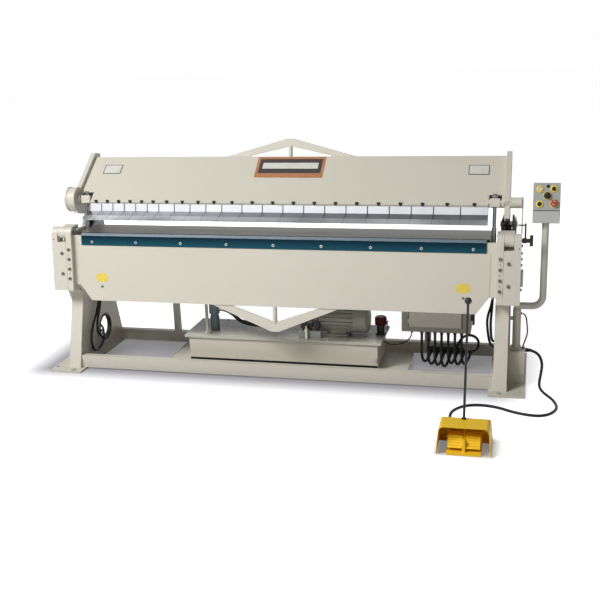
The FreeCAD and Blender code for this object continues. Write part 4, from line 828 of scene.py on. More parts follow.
# %% Turn a mesh into a piece of the machine
def piece(name, bm, slot, body, lift=level, soft=0.0004, replaces=()):
    bm.transform(lift)
    bmesh.ops.recalc_face_normals(bm, faces=bm.faces)
    mesh = bpy.data.meshes.new(name)
    bm.to_mesh(mesh)
    bm.free()
    obj = bpy.data.objects.new(name, mesh)
    scene.collection.objects.link(obj)
    mesh.materials.append(finishes[slot])
    for face in mesh.polygons:
        face.use_smooth = True
    mesh.set_sharp_from_angle(angle=math.radians(35))
    if soft:
        edge = obj.modifiers.new("Soft edges", "BEVEL")
        edge.width = soft
        edge.segments = 2
        edge.limit_method = "ANGLE"
        edge.angle_limit = math.radians(40)
        edge.use_clamp_overlap = True
        edge.harden_normals = True
    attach(obj, body)
    if replaces:
        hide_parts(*replaces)
    return obj


def drawn(draw, *values):
    bm = bmesh.new()
    draw(bm, *values)
    return bm


print("piece maker ready")

# %% [markdown]
# ## Cords
# A cord is a tube of fixed length that bends smoothly, so each is a NURBS curve over the same
# route points as the solid it stands for, thickened by the curve's own round bevel. The routes
# are written in millimetres, like those of the solids, and turned into metres.

# %% Smooth round cords
def cord_curve(name, routes, radius, slot, body, resolution=10, replaces=()):
    data = bpy.data.curves.new(name, "CURVE")
    data.dimensions = "3D"
    data.resolution_u = resolution
    data.bevel_depth = radius
    data.bevel_resolution = 5
    data.use_fill_caps = True
    for points in routes:
        spline = data.splines.new("NURBS")
        spline.points.add(len(points) - 1)
        for point, place in zip(spline.points, points):
            point.co = (*place, 1)
        spline.order_u = 3
        spline.use_endpoint_u = True
    obj = bpy.data.objects.new(name, data)
    scene.collection.objects.link(obj)
    data.materials.append(finishes[slot])
    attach(obj, body)
    if replaces:
        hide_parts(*replaces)
    return obj


def metres(points):
    return [tuple(value / 1000 for value in point) for point in points]


print("cord tool ready")

# %% [markdown]
# The foot switch cord leaves the gland of the junction box, drops to the floor in one loose
# bend and crosses it in two wide curves to the back of the yellow hood.

# %% Foot switch cord
cord_diameter = 0.016
on_floor = 8.5
floor_route = metres([
    (1453.7, -28, 194), (1486.2, -28, 194), (1529.2, -28, 168), (1548.2, -28, 112), (1539.2, -46, 48),
    (1530.2, -104, on_floor), (1545.4, -196.1, on_floor), (1611.2, -315.9, on_floor),
    (1631.0, -447.8, on_floor), (1555.3, -555.5, on_floor), (1419.4, -532.3, on_floor),
    (1289.6, -446.1, on_floor), (1149.9, -447.8, on_floor), (1066.2, -552.1, on_floor),
    (1074.2, -690.0, on_floor), (1077.1, -800.4, on_floor), (1078, -884, 20),
])
floor_cord = cord_curve("switch_cord", [floor_route], cord_diameter / 2, "black_rubber", "frame",
                        replaces=["foot_switch_cord"])
print("switch cord with", len(floor_route), "points")

# %% [markdown]
# A cord needs a strain relief where it leaves a housing, or it breaks there. It is a rubber
# sleeve that tapers, with a few rings cut into it so that it bends.

# %% Strain reliefs of the floor cord
def relief_sleeve(bm, start, direction, cord_radius, long):
    outline = [(-0.001, cord_radius * 1.9)]
    steps = 12
    for k in range(steps + 1):
        radius = cord_radius * (1.55 - 0.42 * k / steps)
        groove = 0.88 if k % 2 else 1.0
        outline.append((long * (0.1 + 0.88 * k / steps), radius * groove))
    outline.append((long, cord_radius * 1.01))
    lathe(bm, start, direction, outline, sides=24)


piece("cord_sleeve_box", drawn(relief_sleeve, floor_route[0], (1, 0, 0), cord_diameter / 2, 0.030),
      "black_rubber", "frame", soft=0)
into_hood = Vector(floor_route[-1]) - Vector(floor_route[-2])
piece("cord_sleeve_hood", drawn(relief_sleeve, floor_route[-1], -into_hood, cord_diameter / 2, 0.034),
      "black_rubber", "frame", soft=0)
print("two sleeves")

# %% [markdown]
# ## Conduits of the enclosure
# Seven black conduits leave the enclosure's floor, fall in loops that grow and shrink along the
# row, swing back and gather in one bundle. Each follows a chain of leaning steps.

# %% Conduit loops
gland_first_x, gland_pitch, gland_y, gland_low = 832, 40, 140, 209.5
bundle_y, bundle_z = 202, 93
conduit_radius = 0.0082
drops = (0, 14, 18, 26, 4, 10, 6)
runs = (40, 86, 48, 48, 48)
leans = (0, -38, 12, 60, 108)
drifts = (0, 4, 12, 24, 38)


def conduit_route(x, drop):
    y, z = gland_y, gland_low
    route = [(x, y, z)]
    for step, (run, lean, drift) in enumerate(zip(runs, leans, drifts)):
        long = run + (drop if step == 1 else 0)
        y += long * math.sin(math.radians(lean))
        z -= long * math.cos(math.radians(lean))
        route.append((x + drift, y, z))
    route.append((x + 58, bundle_y, bundle_z))
    return route


conduit_routes = [conduit_route(gland_first_x + gland_pitch * k, drop) for k, drop in enumerate(drops)]
bundle_end = gland_first_x + (len(drops) - 1) * gland_pitch + 6
turn_back = [(0, 0, 0), (36, 0, -10), (76, 1, 4), (96, 4, 42), (84, 8, 80), (48, 11, 98), (8, 10, 92),
             (-22, 5, 62), (-42, 0, 14)]
conduit_routes.append([(bundle_end + x, bundle_y + y, bundle_z + z) for x, y, z in turn_back])
cord_curve("conduits", [metres(route) for route in conduit_routes], conduit_radius, "black_rubber",
           "frame", replaces=["cables"])
print("conduits", len(conduit_routes))

# %% [markdown]
# The bundle is wrapped with tape, so its skin is a row of shallow overlapping rings. The thin
# cables run from the junction box to the post and from the tank to the enclosure.

# %% Bundle, side cable and tank cable
def taped_bundle(bm):
    start_x = (gland_first_x + gland_pitch) / 1000
    long = (bundle_end + 2) / 1000 - start_x
    wraps, wrap_low, wrap_high = 14, 0.0185, 0.0198
    outline = [(0, 0), (0, 0.013)]
    for k in range(wraps):
        outline += [(long * (k + 0.08) / wraps, wrap_low), (long * (k + 0.92) / wraps, wrap_high)]
    outline += [(long, 0.014), (long, 0)]
    lathe(bm, (start_x, bundle_y / 1000, bundle_z / 1000), (1, 0, 0), outline, sides=28)


piece("conduit_bundle", drawn(taped_bundle), "black_rubber", "frame", soft=0)
side_route = metres([
    (1428.7, -45, 420), (1447.2, -45, 408), (1453.2, -43, 360), (1459.2, -41, 302), (1445.2, -37, 254),
    (1435.2, -37, 220.5),
])
tank_route = metres([
    (613, 20, 195), (640, 20, 176), (686, 40, 166), (730, 80, 166), (767, 126, 186), (771, 140, 213.5),
])
print("bundle and", len(side_route) + len(tank_route), "points of thin cables")
cord_curve("side_cable", [side_route], 0.004, "black_rubber", "frame", resolution=12)
cord_curve("tank_cable", [tank_route], 0.0035, "black_rubber", "frame", resolution=12)

# %% [markdown]
# ## Hydraulic hoses
# Two rubber hoses run down each side frame from the ports under the bed and out through the
# hose hole, and a thicker one joins the filter to the pump. A crimped collar holds each end.

# %% Hose routes
port_x, port_z = 1254.2, 499.4
hose_radius, pump_hose_radius = 0.0075, 0.012
left_long = [(0, 62, port_z), (-1, 60, 408), (-2, 20, 318), (-2, -50, 252), (0, -112, 170), (0, -88, 74),
             (-1, 8, 62), (-2, 88, 110), (-30, 134, 144), (-88, 148, 148)]
left_short = [(0, 92, port_z), (0, 90, 412), (0, 56, 328), (0, 4, 260), (0, -12, 180), (-2, 46, 126),
              (-14, 112, 152), (-46, 138, 184), (-88, 148, 192)]
right_rear = [(0, 92, port_z), (-4, 90, 430), (-32, 64, 352), (-24, 50, 262), (-10, 84, 176), (28, 128, 140),
              (80, 140, 138)]
right_front = [(0, 62, port_z), (-1, 58, 426), (-8, 18, 346), (-4, 16, 262), (2, 76, 200), (30, 136, 190),
               (82, 160, 196)]
hose_routes = [[(x - port_x, y, z) for x, y, z in route] for route in (left_long, left_short)]
hose_routes += [[(x + port_x, y, z) for x, y, z in route] for route in (right_rear, right_front)]
hose_routes = [metres(route) for route in hose_routes]
pump_route = metres([(-442, 88, 340), (-374, 88, 330), (-294, 98, 234), (-60, 130, 230), (40, 130, 278),
                     (116, 130, 288)])
cord_curve("side_hoses", hose_routes, hose_radius, "black_rubber", "frame", replaces=["hydraulic_hoses"])
cord_curve("pump_hose", [pump_route], pump_hose_radius, "black_rubber", "frame", resolution=16)
print("hoses", len(hose_routes) + 1)

# %% [markdown]
# A collar is pressed onto the end of each hose. Four grooves from the jaws of the press run
# round it.

# %% Crimped collars
def crimp(bm, start, toward, radius):
    crest, groove, pitch = radius * 1.3, radius * 1.17, 0.006
    outline = [(-0.001, radius * 0.9), (-0.001, radius * 1.25), (0.004, crest)]
    for k in range(4):
        along = pitch * (k + 1)
        outline += [(along, crest), (along + 0.002, groove), (along + 0.004, groove)]
    outline += [(0.031, crest), (0.033, radius * 1.02)]
    lathe(bm, start, toward, outline, sides=24)


def hose_collars(bm):
    ends = [(route, hose_radius) for route in hose_routes]
    ends += [(pump_route, pump_hose_radius), (pump_route[::-1], pump_hose_radius)]
    for route, radius in ends:
        crimp(bm, route[0], Vector(route[1]) - Vector(route[0]), radius)
    print("collars", len(ends))


piece("hose_collars", drawn(hose_collars), "zinc_steel", "frame", soft=0)

# %% [markdown]
# ## Rubber edging of the hose holes
# A rubber profile is pressed over the edge of each large hole so that the hoses don't chafe.
# It is a round bead on both sides of the web, swept round the hole.

# %% Edging beads
hole_y, hole_z = 0.151, 0.166
web_in, web_out = 1.2762, 1.2962


def edging_ring(bm, side):
    bead_middle, bead_lift, bead_out, bead_half = 0.0815, 0.0012, 0.0036, 0.0082
    outline = []
    for along, lean in ((web_out, 1), (web_in, -1)):
        for k in range(9):
            turn = math.radians(-90 + 22.5 * k)
            outline.append((along + lean * (bead_lift + bead_out * math.cos(turn)),
                            bead_middle - lean * bead_half * math.sin(turn)))
    outline.append(outline[0])
    lathe(bm, (0, hole_y, hole_z), (side, 0, 0), outline, sides=64)


for side, label in ((-1, "left"), (1, "right")):
    piece("hose_edging_" + label, drawn(edging_ring, side), "black_rubber", "frame", soft=0,
          replaces=["hose_hole_edging"])
print("edging on both holes")

# %% [markdown]
# ## Screws
# A cap screw has a turned head with a chamfer and a six-sided key hole. The strip, the end
# blocks and the finger pockets have them, so one helper draws the head and loops place them.

# %% Screws of the strip
half_work = 1.2192
block_in, block_out = 1.2812, 1.4112
strip_half = half_work + 0.004
strip_pitch = strip_half * 2 / 8.5
toward_front = (0, -1, 0)
strip_places = [Vector((strip_pitch * k, hinge_y - 0.014, bed_z - 0.053)) for k in range(-4, 5)]


def strip_screws(bm):
    for place in strip_places:
        socket_screw(bm, place, toward_front, 0.0085, 0.005)


# painted shade: a black hexagon fills each key hole of the strip's screws
def key_hole_shade(bm):
    key = [(-0.001, 0.0046, "hexagon"), (0.0004, 0.0046, "hexagon"), (0.0004, 0)]
    for place in strip_places:
        lathe(bm, place + Vector((0, -0.0049, 0)), toward_front, key, sides=24)


piece("strip_cap_screws", drawn(strip_screws), "zinc_steel", "leaf", leaning, replaces=["leaf_screws"])
piece("strip_key_hole_shade", drawn(key_hole_shade), "black_plastic", "leaf", leaning, soft=0)
print("strip screws", len(strip_places))

# %% [markdown]
# The end blocks are held by dark screws: a column of four and one of two on the front of each,
# one in the plate beside it and five in its outer side. Small dowels sit between the screws of
# the first column, and one more sits near the outer edge.

# %% Screws and dowels of the end blocks
block_front, bolt_column, bolt_pitch = hinge_y - 0.038, block_in + 0.019, 0.060


def block_screws(bm):
    for side in (-1, 1):
        for k in range(4):
            place = (side * bolt_column, block_front, bed_z - 0.102 - bolt_pitch * k)
            socket_screw(bm, place, toward_front, 0.010, 0.006)
        for drop in (0.126, 0.252):
            place = (side * (block_in + 0.065), block_front, bed_z - drop)
            socket_screw(bm, place, toward_front, 0.010, 0.006)
        socket_screw(bm, (side * 1.1, hinge_y - 0.009, bed_z - 0.330), toward_front, 0.007, 0.004)
        for drop in (0.027, 0.068, 0.100, 0.133, 0.271):
            socket_screw(bm, (side * block_out, hinge_y - 0.020, bed_z - drop), (side, 0, 0), 0.008, 0.008)


def block_dowels(bm):
    dowel = [(-0.001, 0.003), (0.0012, 0.003), (0.0016, 0)]
    for side in (-1, 1):
        spots = [(side * bolt_column, bed_z - 0.132 - bolt_pitch * k) for k in range(3)]
        spots.append((side * (block_out - 0.012), bed_z - 0.040))
        for x, z in spots:
            lathe(bm, (x, block_front - 0.0005, z), toward_front, dowel, sides=14)


piece("block_cap_screws", drawn(block_screws), "dark_steel", "leaf", leaning, replaces=["leaf_screws"])
piece("block_dowels", drawn(block_dowels), "blackened_steel", "leaf", leaning, soft=0)
print("screws and dowels of both blocks")

# %% [markdown]
# The fingers come in four widths, and each is held by a screw in a pocket of the beam above it.
# The widths in inches add up to the working length, so they give the middles and the joints.

# %% Screws in the finger pockets
finger_inches = (3,) * 6 + (4,) * 4 + (5,) * 10 + (6,) * 2
finger_edges = [-half_work]
for inches in finger_inches:
    finger_edges.append(finger_edges[-1] + inches * inch)
finger_middles = [(a + b) / 2 for a, b in zip(finger_edges, finger_edges[1:])]
pocket_back, screw_z = -0.0125, 0.983


def pocket_screws(bm):
    for x in finger_middles:
        socket_screw(bm, (x, pocket_back, screw_z), toward_front, 0.0088, 0.011)


piece("pocket_screws", drawn(pocket_screws), "blackened_steel", "beam", raised, replaces=["finger_screws"])
print("pocket screws", len(finger_middles))

# %% [markdown]
# Each pocket is cut by a round tool that runs out at the fingers, so it looks like a small dark
# heart. A dark sheet of two lobes and a point is painted shade inside it.

# %% Painted shade in the pockets
pocket_z, shade_sheet_back, shade_sheet_front = 0.9835, -0.0266, -0.0272
lobe_radius, lobe_x, lobe_z, heart_point = 0.0058, 0.0052, 0.0045, -0.0125


def pocket_shade_sheets(bm):
    heart = [(0, heart_point)]
    steps = 10
    for side in (1, -1):
        for k in range(steps + 1):
            turn = math.radians(-25 * side + 180 * k / steps)
            across, rise = lobe_radius * math.cos(turn), lobe_radius * math.sin(turn)
            heart.append((side * lobe_x + across, lobe_z + rise))
    for x in finger_middles:
        prism(bm, [(x + across, shade_sheet_back, pocket_z + rise) for across, rise in heart],
              [(x + across, shade_sheet_front, pocket_z + rise) for across, rise in heart])


piece("pocket_shade_sheets", drawn(pocket_shade_sheets), "black_plastic", "beam", raised, soft=0)
print("pocket linings", len(finger_middles))

# %% [markdown]
# Where two fingers meet, both have a small chamfer, and a narrow gap runs between them. A dark strip
# down each joint is painted shade in that gap: wide on the upright face and the step, and thin on the nose.

# %% Painted shade in the joints between the fingers
finger_slope = [(-0.025, 0.970), (-0.025, 0.927), (-0.083, 0.897), (-0.139, 0.869)]
shade_strip_widths = (0.0056, 0.0050, 0.0016)


def joint_shade_strips(bm):
    for x in finger_edges[1:-1]:
        for (y0, z0), (y1, z1), wide in zip(finger_slope, finger_slope[1:], shade_strip_widths):
            out = Vector((0, z1 - z0, y0 - y1)).normalized()
            out = -out if out.y > 0 else out
            box_of(bm, [Vector((x + across, y, z)) + out * lift_off for lift_off in (-0.0006, 0.0004)
                        for y, z in ((y0, z0), (y1, z1)) for across in (-wide / 2, wide / 2)])


piece("joint_shade_strips", drawn(joint_shade_strips), "black_plastic", "beam", raised, soft=0)
print("finger joints", len(finger_edges) - 2)

# %% [markdown]
# ## Plates on the beam and the leaf
# Three thin plates lie on the sloping skin: a dark one with a copper rim and a pale bar in the
# middle, and a pale one with a dark rim at each end. Each is a rounded outline raised about a
# millimetre from the skin.

# %% Plates on the sloping skin
skin_foot = Vector((0, -0.026, 0.980))
skin_slope = math.radians(48.8)
up_skin = Vector((0, math.cos(skin_slope), math.sin(skin_slope)))


def on_skin(across, along, lift_off=0.0):
    place = facing(skin_foot + Vector((across, 0, 0)) + up_skin * along, (1, 0, 0), up_skin)
    return place @ Matrix.Translation((0, 0, lift_off))


def skin_plate(name, across, along, size, rim, slots):
    width, height = size
    back = drawn(rounded_plate, on_skin(across, along), width, height, 0.0012, 0.003)
    piece(name + "_rim", back, slots[0], "beam", raised, soft=0.0003)
    width, height = width - 2 * rim, height - 2 * rim
    face = drawn(rounded_plate, on_skin(across, along, 0.0010), width, height, 0.0007, 0.002)
    piece(name + "_face", face, slots[1], "beam", raised, soft=0.0002)


skin_plate("middle_plate", 0.015, 0.300, (0.430, 0.176), 0.018, ("copper", "name_plate"))
bar = drawn(rounded_plate, on_skin(0.015, 0.312, 0.0016), 0.350, 0.050, 0.0008, 0.004)
piece("middle_plate_bar", bar, "pale_plastic", "beam", raised, soft=0.0002)
foot = drawn(rounded_plate, on_skin(0.015, 0.236, 0.0016), 0.394, 0.026, 0.0006, 0.003)
piece("middle_plate_foot", foot, "copper", "beam", raised, soft=0.0002)
skin_plate("left_plate", -1.152, 0.283, (0.120, 0.078), 0.0045, ("blackened_steel", "pale_plastic"))
skin_plate("right_plate", 1.154, 0.279, (0.120, 0.078), 0.0045, ("blackened_steel", "pale_plastic"))
print("three plain plates")

# %% [markdown]
# A thin yellow oval lies on the leaf near each end. It is a ring of points on an ellipse, pulled
# out of the plate by less than a millimetre.

# %% Ovals on the leaf
def oval(bm, across, drop, width, height, thick):
    ring = []
    for k in range(48):
        turn = 2 * math.pi * k / 48
        ring.append((across + width / 2 * math.cos(turn), bed_z - drop + height / 2 * math.sin(turn)))
    back, front = hinge_y - 0.0089, hinge_y - 0.009 - thick
    prism(bm, [(x, back, z) for x, z in ring], [(x, front, z) for x, z in ring])


for side, label in ((-1, "left"), (1, "right")):
    piece(label + "_oval", drawn(oval, side * 1.099, 0.274, 0.084, 0.056, 0.0008), "yellow_plastic", "leaf",
          leaning, soft=0.0002)
print("two plain ovals")

# %% [markdown]
# ## Control pendant
# The face of the box leans back, so its buttons are drawn on a matrix that lies in the face:
# X across, Y up the slope and Z out. Each button sits in a yellow collar.

# %% Place on the pendant's face
pend_x, pend_front, pend_low = 1.5352, -0.095, 0.955
face_low, pend_high, face_back = pend_low + 0.072, pend_low + 0.208, 0.038
face_up = Vector((0, face_back, pend_high - face_low)).normalized()
face_out = Vector((1, 0, 0)).cross(face_up)


def on_face(across, down):
    top = Vector((pend_x + across, pend_front + face_back, pend_high))
    return facing(top - face_up * down, (1, 0, 0), face_up)


def face_lathe(bm, spot, outline, sides=36):
    lathe(bm, on_face(*spot).translation, face_out, outline, sides)


print("face leans", round(math.degrees(math.atan2(face_up.y, face_up.z)), 1), "degrees")

# %% [markdown]
# A collar is a low turned ring. Those of the push buttons are domed, and those of the selector
# and the emergency stop are wider and flatter.

# %% Yellow collars
start_spot, return_spot, jog_spot = (-0.037, 0.027), (0.037, 0.025), (-0.037, 0.108)
select_spot, stop_spot, lamp_spot = (0.003, 0.062), (0.039, 0.103), (0.005, 0.011)


def button_collars(bm):
    for spot in (start_spot, return_spot, jog_spot):
        face_lathe(bm, spot, [(0, 0.020), (0.0035, 0.0198), (0.0058, 0.0165), (0.0060, 0.0122),
                              (0.0045, 0.0116), (0, 0.0115), (0, 0.020)])
    face_lathe(bm, select_spot, [(0, 0.022), (0.0028, 0.0218), (0.0040, 0.0205), (0.0040, 0.0188),
                                 (0, 0.0186), (0, 0.022)])
    face_lathe(bm, stop_spot, [(0, 0.024), (0.0022, 0.0237), (0.0030, 0.0225), (0.0030, 0.0088),
                               (0, 0.0086), (0, 0.024)])


piece("button_collars", drawn(button_collars), "yellow_plastic", "pendant_box", soft=0,
      replaces=["pendant_rings"])
print("five collars")

# %% [markdown]
# Each push button is a turned cap with a shallow dish for the finger. It rides on its own body,
# because each button can be pressed.

# %% Three push buttons
def push_button(bm, spot):
    face_lathe(bm, spot, [(-0.001, 0), (-0.001, 0.0110), (0.0072, 0.0110), (0.0086, 0.0100), (0.0080, 0.0080),
                          (0.0076, 0.0050), (0.0074, 0)])


piece("start_cap", drawn(push_button, start_spot), "pale_plastic", "button_start", soft=0,
      replaces=["button_start"])
piece("return_cap", drawn(push_button, return_spot), "black_plastic", "button_return", soft=0,
      replaces=["button_return"])
piece("jog_cap", drawn(push_button, jog_spot), "black_plastic", "button_jog", soft=0, replaces=["button_jog"])
print("three caps")

# %% [markdown]
# A small dark lamp sits above the selector. It is one turned dome.

# %% Lamp
def lamp_lens(bm):
    face_lathe(bm, lamp_spot, [(0, 0.0090), (0.0030, 0.0088), (0.0046, 0.0080), (0.0062, 0.0070),
                               (0.0078, 0.0050), (0.0087, 0.0025), (0.0089, 0)])


piece("lamp_lens", drawn(lamp_lens), "black_plastic", "pendant_box", soft=0, replaces=["pendant_lamp"])
print("lamp")

# %% [markdown]
# The selector is a turned knob with a ridge to hold it by. The ridge narrows to a point at the
# side that shows the setting, and its top is a little smaller than its foot.

# %% Selector with a gripping ridge
def selector_knob(bm):
    face_lathe(bm, select_spot, [(-0.004, 0), (-0.004, 0.006), (0.0044, 0.006), (0.0044, 0.0180),
                                 (0.0120, 0.0176), (0.0150, 0.0160), (0.0160, 0.0130), (0.0160, 0)])
    place = on_face(*select_spot)
    ridge = [(-0.0045, -0.0160), (0.0045, -0.0160), (0.0036, 0.0168), (0, 0.0176), (-0.0036, 0.0168)]
    prism(bm, [place @ Vector((x, y, 0.0150)) for x, y in ridge],
          [place @ Vector((x * 0.8, y * 0.97, 0.0258)) for x, y in ridge])


piece("selector_knob", drawn(selector_knob), "black_plastic", "selector", replaces=["selector"], soft=0.0008)
print("selector")

# %% [markdown]
# The emergency stop is a red mushroom: a stem, an undercut and a domed head. Two curved arrows
# on it show the turn that frees it, raised a little out of the dome.

# %% Emergency stop
def mushroom(bm):
    face_lathe(bm, stop_spot, [(-0.001, 0), (-0.001, 0.008), (0.0110, 0.008), (0.0118, 0.0130),
                               (0.0122, 0.0192), (0.0140, 0.0200), (0.0165, 0.0198), (0.0190, 0.0178),
                               (0.0208, 0.0135), (0.0217, 0.0075), (0.0220, 0)], sides=48)


def dome_height(reach):
    outline = ((0, 0.0220), (0.0075, 0.0217), (0.0135, 0.0208), (0.0178, 0.0190), (0.0198, 0.0165))
    for (r0, h0), (r1, h1) in zip(outline, outline[1:]):
        if reach <= r1:
            return h0 + (h1 - h0) * (reach - r0) / (r1 - r0)
    return outline[-1][1]


def free_arrows(bm):
    place = on_face(*stop_spot)
    inner, outer, steps, head = 0.0085, 0.0112, 9, 2
    for start in (20, 200):
        rows = []
        for k in range(steps + 1):
            turn = math.radians(start + 95 * k / steps)
            spread = 0.0022 * (steps - k) / head if k >= steps - head else 0
            reaches = [inner - spread, outer + spread] if k < steps else [(inner + outer) / 2] * 2
            rows.append([place @ Vector((r * math.cos(turn), r * math.sin(turn), dome_height(r) + 0.0004))
                         for r in reaches])
        for (a, b), (c, d) in zip(rows, rows[1:]):
            bm.faces.new([bm.verts.new(corner) for corner in (a, b, d, c)])


piece("stop_mushroom", drawn(mushroom), "red_plastic", "emergency_stop", soft=0, replaces=["emergency_stop"])
piece("stop_arrows", drawn(free_arrows), "pale_plastic", "emergency_stop", soft=0)
print("emergency stop")

# %% [markdown]
# Six small screws hold the box together: two in the lower cover and four in the corners of the
# sloping face.

# %% Screws of the pendant
screw_across = 0.062


def pendant_screws(bm):
    for across in (-screw_across, screw_across):
        place = (pend_x + across, pend_front - 0.002, pend_low + 0.012)
        socket_screw(bm, place, toward_front, 0.0032, 0.0018)
    for across in (-screw_across, screw_across):
        for down in (0.008, 0.131):
            socket_screw(bm, on_face(across, down).translation, face_out, 0.003, 0.0014)


piece("pendant_screws", drawn(pendant_screws), "zinc_steel", "pendant_box", soft=0)
print("pendant screws")

# %% [markdown]
# Under the sloping face a flat cover closes the front. A dark seam above and below it shows
# where it ends, so the cover is one thin block and the seam is two.

# %% Lower cover of the pendant
cover_half, seam_half = 0.0695, 0.0718


def pendant_cover(bm):
    block(bm, (pend_x - cover_half, pend_front - 0.0032, pend_low + 0.0015),
          (pend_x + cover_half, pend_front - 0.0015, face_low - 0.004))


def pendant_seam(bm):
    front, back = pend_front - 0.0024, pend_front - 0.0005
    for low, high in ((face_low - 0.0034, face_low - 0.0008), (pend_low + 0.0002, pend_low + 0.0012)):
        block(bm, (pend_x - seam_half, front, low), (pend_x + seam_half, back, high))


piece("pendant_cover", drawn(pendant_cover), "pale_grey", "pendant_box", soft=0.0006)
piece("pendant_seam", drawn(pendant_seam), "black_rubber", "pendant_box", soft=0)
print("pendant cover and seam")

# %% [markdown]
# ## Foot switch rod
# The switch is moved about by a black rod with a ball. The ball is turned from many short
# steps of a circle, and the rod has a hexagon nut on the hood.

# %% Rod, ball and nut
rod_foot, rod_top = Vector((1.167, -0.956, 0.1405)), Vector((1.179, -0.956, 0.752))
ball_r, rod_r = 0.0175, 0.0060


def carrying_rod(bm):
    along = rod_top - rod_foot
    rod = [(-0.004, 0), (-0.004, 0.0105), (0.010, 0.0100), (0.014, 0.0065), (along.length - 0.020, rod_r)]
    lathe(bm, rod_foot, along, rod, sides=24)
    nut = [(0.0005, 0.0062), (0.0005, 0.0125, "hexagon"), (0.0085, 0.0125, "hexagon"), (0.0095, 0.0062)]
    lathe(bm, rod_foot, along, nut, sides=24)
    ball = [(along.length - ball_r - 0.0035, rod_r), (along.length - ball_r, 0.0072)]
    steps = 16
    for k in range(2, steps):
        turn = math.pi * k / steps
        ball.append((along.length - ball_r * math.cos(turn), ball_r * math.sin(turn)))
    ball.append((along.length + ball_r, 0))
    lathe(bm, rod_foot, along, ball, sides=36)


piece("switch_rod", drawn(carrying_rod), "blackened_steel", "frame", soft=0, replaces=["carrying_rod"])
print("rod, ball and nut")

# %% [markdown]
# The hood of the switch is riveted to its base: two rivets in each side and two in the back.
# The sides lean in towards the top, so the upper rivets sit a little nearer the middle.

# %% Rivets of the hood
hood_middle, hood_half, hood_height, hood_taper = 1.174, 0.134, 0.148, 0.010


def hood_rivets(bm):
    for side in (-1, 1):
        for z in (0.024, 0.074):
            place = (hood_middle + side * (hood_half - hood_taper * z / hood_height), -0.905, z)
            rivet = [(-0.002, 0.0055), (0.0006, 0.0055), (0.0018, 0.0040), (0.0022, 0)]
            lathe(bm, place, (side, 0, 0), rivet, sides=20)
    for across in (-0.110, 0.110):
        rivet = [(-0.002, 0.0045), (0.0005, 0.0045), (0.0016, 0)]
        lathe(bm, (hood_middle + across, -0.890, 0.030), (0, 1, 0), rivet, sides=20)


piece("hood_rivets", drawn(hood_rivets), "zinc_steel", "frame", soft=0)
print("rivets")

# %% [markdown]
# ## Oil power unit
# Filter, filler cap and most pieces on the tank lid are turned. The filter stands on the lid, a
# can with a neck and a wider bowl on top, so its whole outline is swept at once.

# %% Oil filter
deck = 0.200
upward = (0, 0, 1)
filter_place = Vector((-0.478, 0.088, deck))


def oil_filter(bm):
    outline = [(0, 0.0300), (0.004, 0.0300), (0.004, 0.0290), (0.084, 0.0290), (0.088, 0.0300),
               (0.090, 0.0262), (0.096, 0.0255), (0.104, 0.0255), (0.108, 0.0330), (0.112, 0.0340),
               (0.176, 0.0340), (0.180, 0.0336), (0.186, 0.0300), (0.190, 0.0250), (0.190, 0)]
    lathe(bm, filter_place, upward, outline, sides=48)


piece("filter_can", drawn(oil_filter), "filter_blue", "frame", soft=0, replaces=["oil_filter"])
print("filter")

# %% [markdown]
# The red filler cap has ribs to grip it by. Its outline is swept like the others, but each ring
# also waves in and out, once for each rib, and deepest under the rounded top.

# %% Filler cap with grip ribs
cap_place = Vector((0.580, 0.140, deck + 0.060))


def filler_cap(bm):
    ribs, steps_per_rib = 32, 4
    count = ribs * steps_per_rib
    outline = ((0, 0.0352, 0), (0.002, 0.0365, 0.0015), (0.040, 0.0365, 0.0022), (0.046, 0.0350, 0.0016),
               (0.050, 0.0315, 0), (0.052, 0.0260, 0), (0.0505, 0.0200, 0), (0.0505, 0.0005, 0))
    rings = []
    for z, radius, depth in outline:
        ring = []
        for k in range(count):
            turn = 2 * math.pi * k / count
            reach = radius - depth * (0.5 - 0.5 * math.cos(turn * ribs))
            ring.append(bm.verts.new(cap_place + Vector((reach * math.cos(turn), reach * math.sin(turn), z))))
        rings.append(ring)
    for low, high in zip(rings, rings[1:]):
        close_walls(bm, low, high)


piece("cap_ribbed", drawn(filler_cap), "cap_plastic", "filler_cap", soft=0, replaces=["filler_cap"])
print("filler cap")

# %% [markdown]
# Hexagon screws hold the lid along its front and back edges. The lathe makes their heads too,
# with rings marked as hexagons.

# %% Lid screws
lid_first_x, lid_pitch = -0.608, 0.1485


def lid_screws(bm):
    head = [(-0.001, 0.0058, "hexagon"), (0.0045, 0.0058, "hexagon"), (0.0050, 0.0045), (0.0050, 0)]
    for k in range(9):
        for y in (-0.036, 0.294):
            lathe(bm, (lid_first_x + lid_pitch * k, y, deck), upward, head, sides=24)


piece("lid_screws", drawn(lid_screws), "zinc_steel", "frame", soft=0)
print("lid screws")

# %% [markdown]
# A few pieces are bent from round bar. The bar is a row of rings along its points, each square
# to the way the bar runs there. A small lug stands at the lid's rear right corner.

# %% Bent bar and the lid's lug
def tube_path(bm, points, radius, sides=16):
    points = [Vector(point) for point in points]
    rings = []
    side = None
    for k, point in enumerate(points):
        ahead = points[min(k + 1, len(points) - 1)] - points[max(k - 1, 0)]
        ahead.normalize()
        side = ahead.orthogonal() if side is None else side - ahead * side.dot(ahead)
        side.normalize()
        other = ahead.cross(side)
        rings.append([bm.verts.new(spot) for spot in circle(point, side, other, radius, sides)])
    for low, high in zip(rings, rings[1:]):
        close_walls(bm, low, high)
    bm.faces.new(rings[0][::-1])
    bm.faces.new(rings[-1])


def lid_lug(bm):
    lug_x, lug_y, bend = 0.598, 0.280, 0.008
    steps = 8
    path = [(lug_x, lug_y, deck - 0.001)]
    for k in range(steps + 1):
        turn = math.radians(90 * k / steps)
        path.append((lug_x + bend * (1 - math.cos(turn)), lug_y, deck + 0.030 + bend * math.sin(turn)))
    tube_path(bm, path, 0.004)


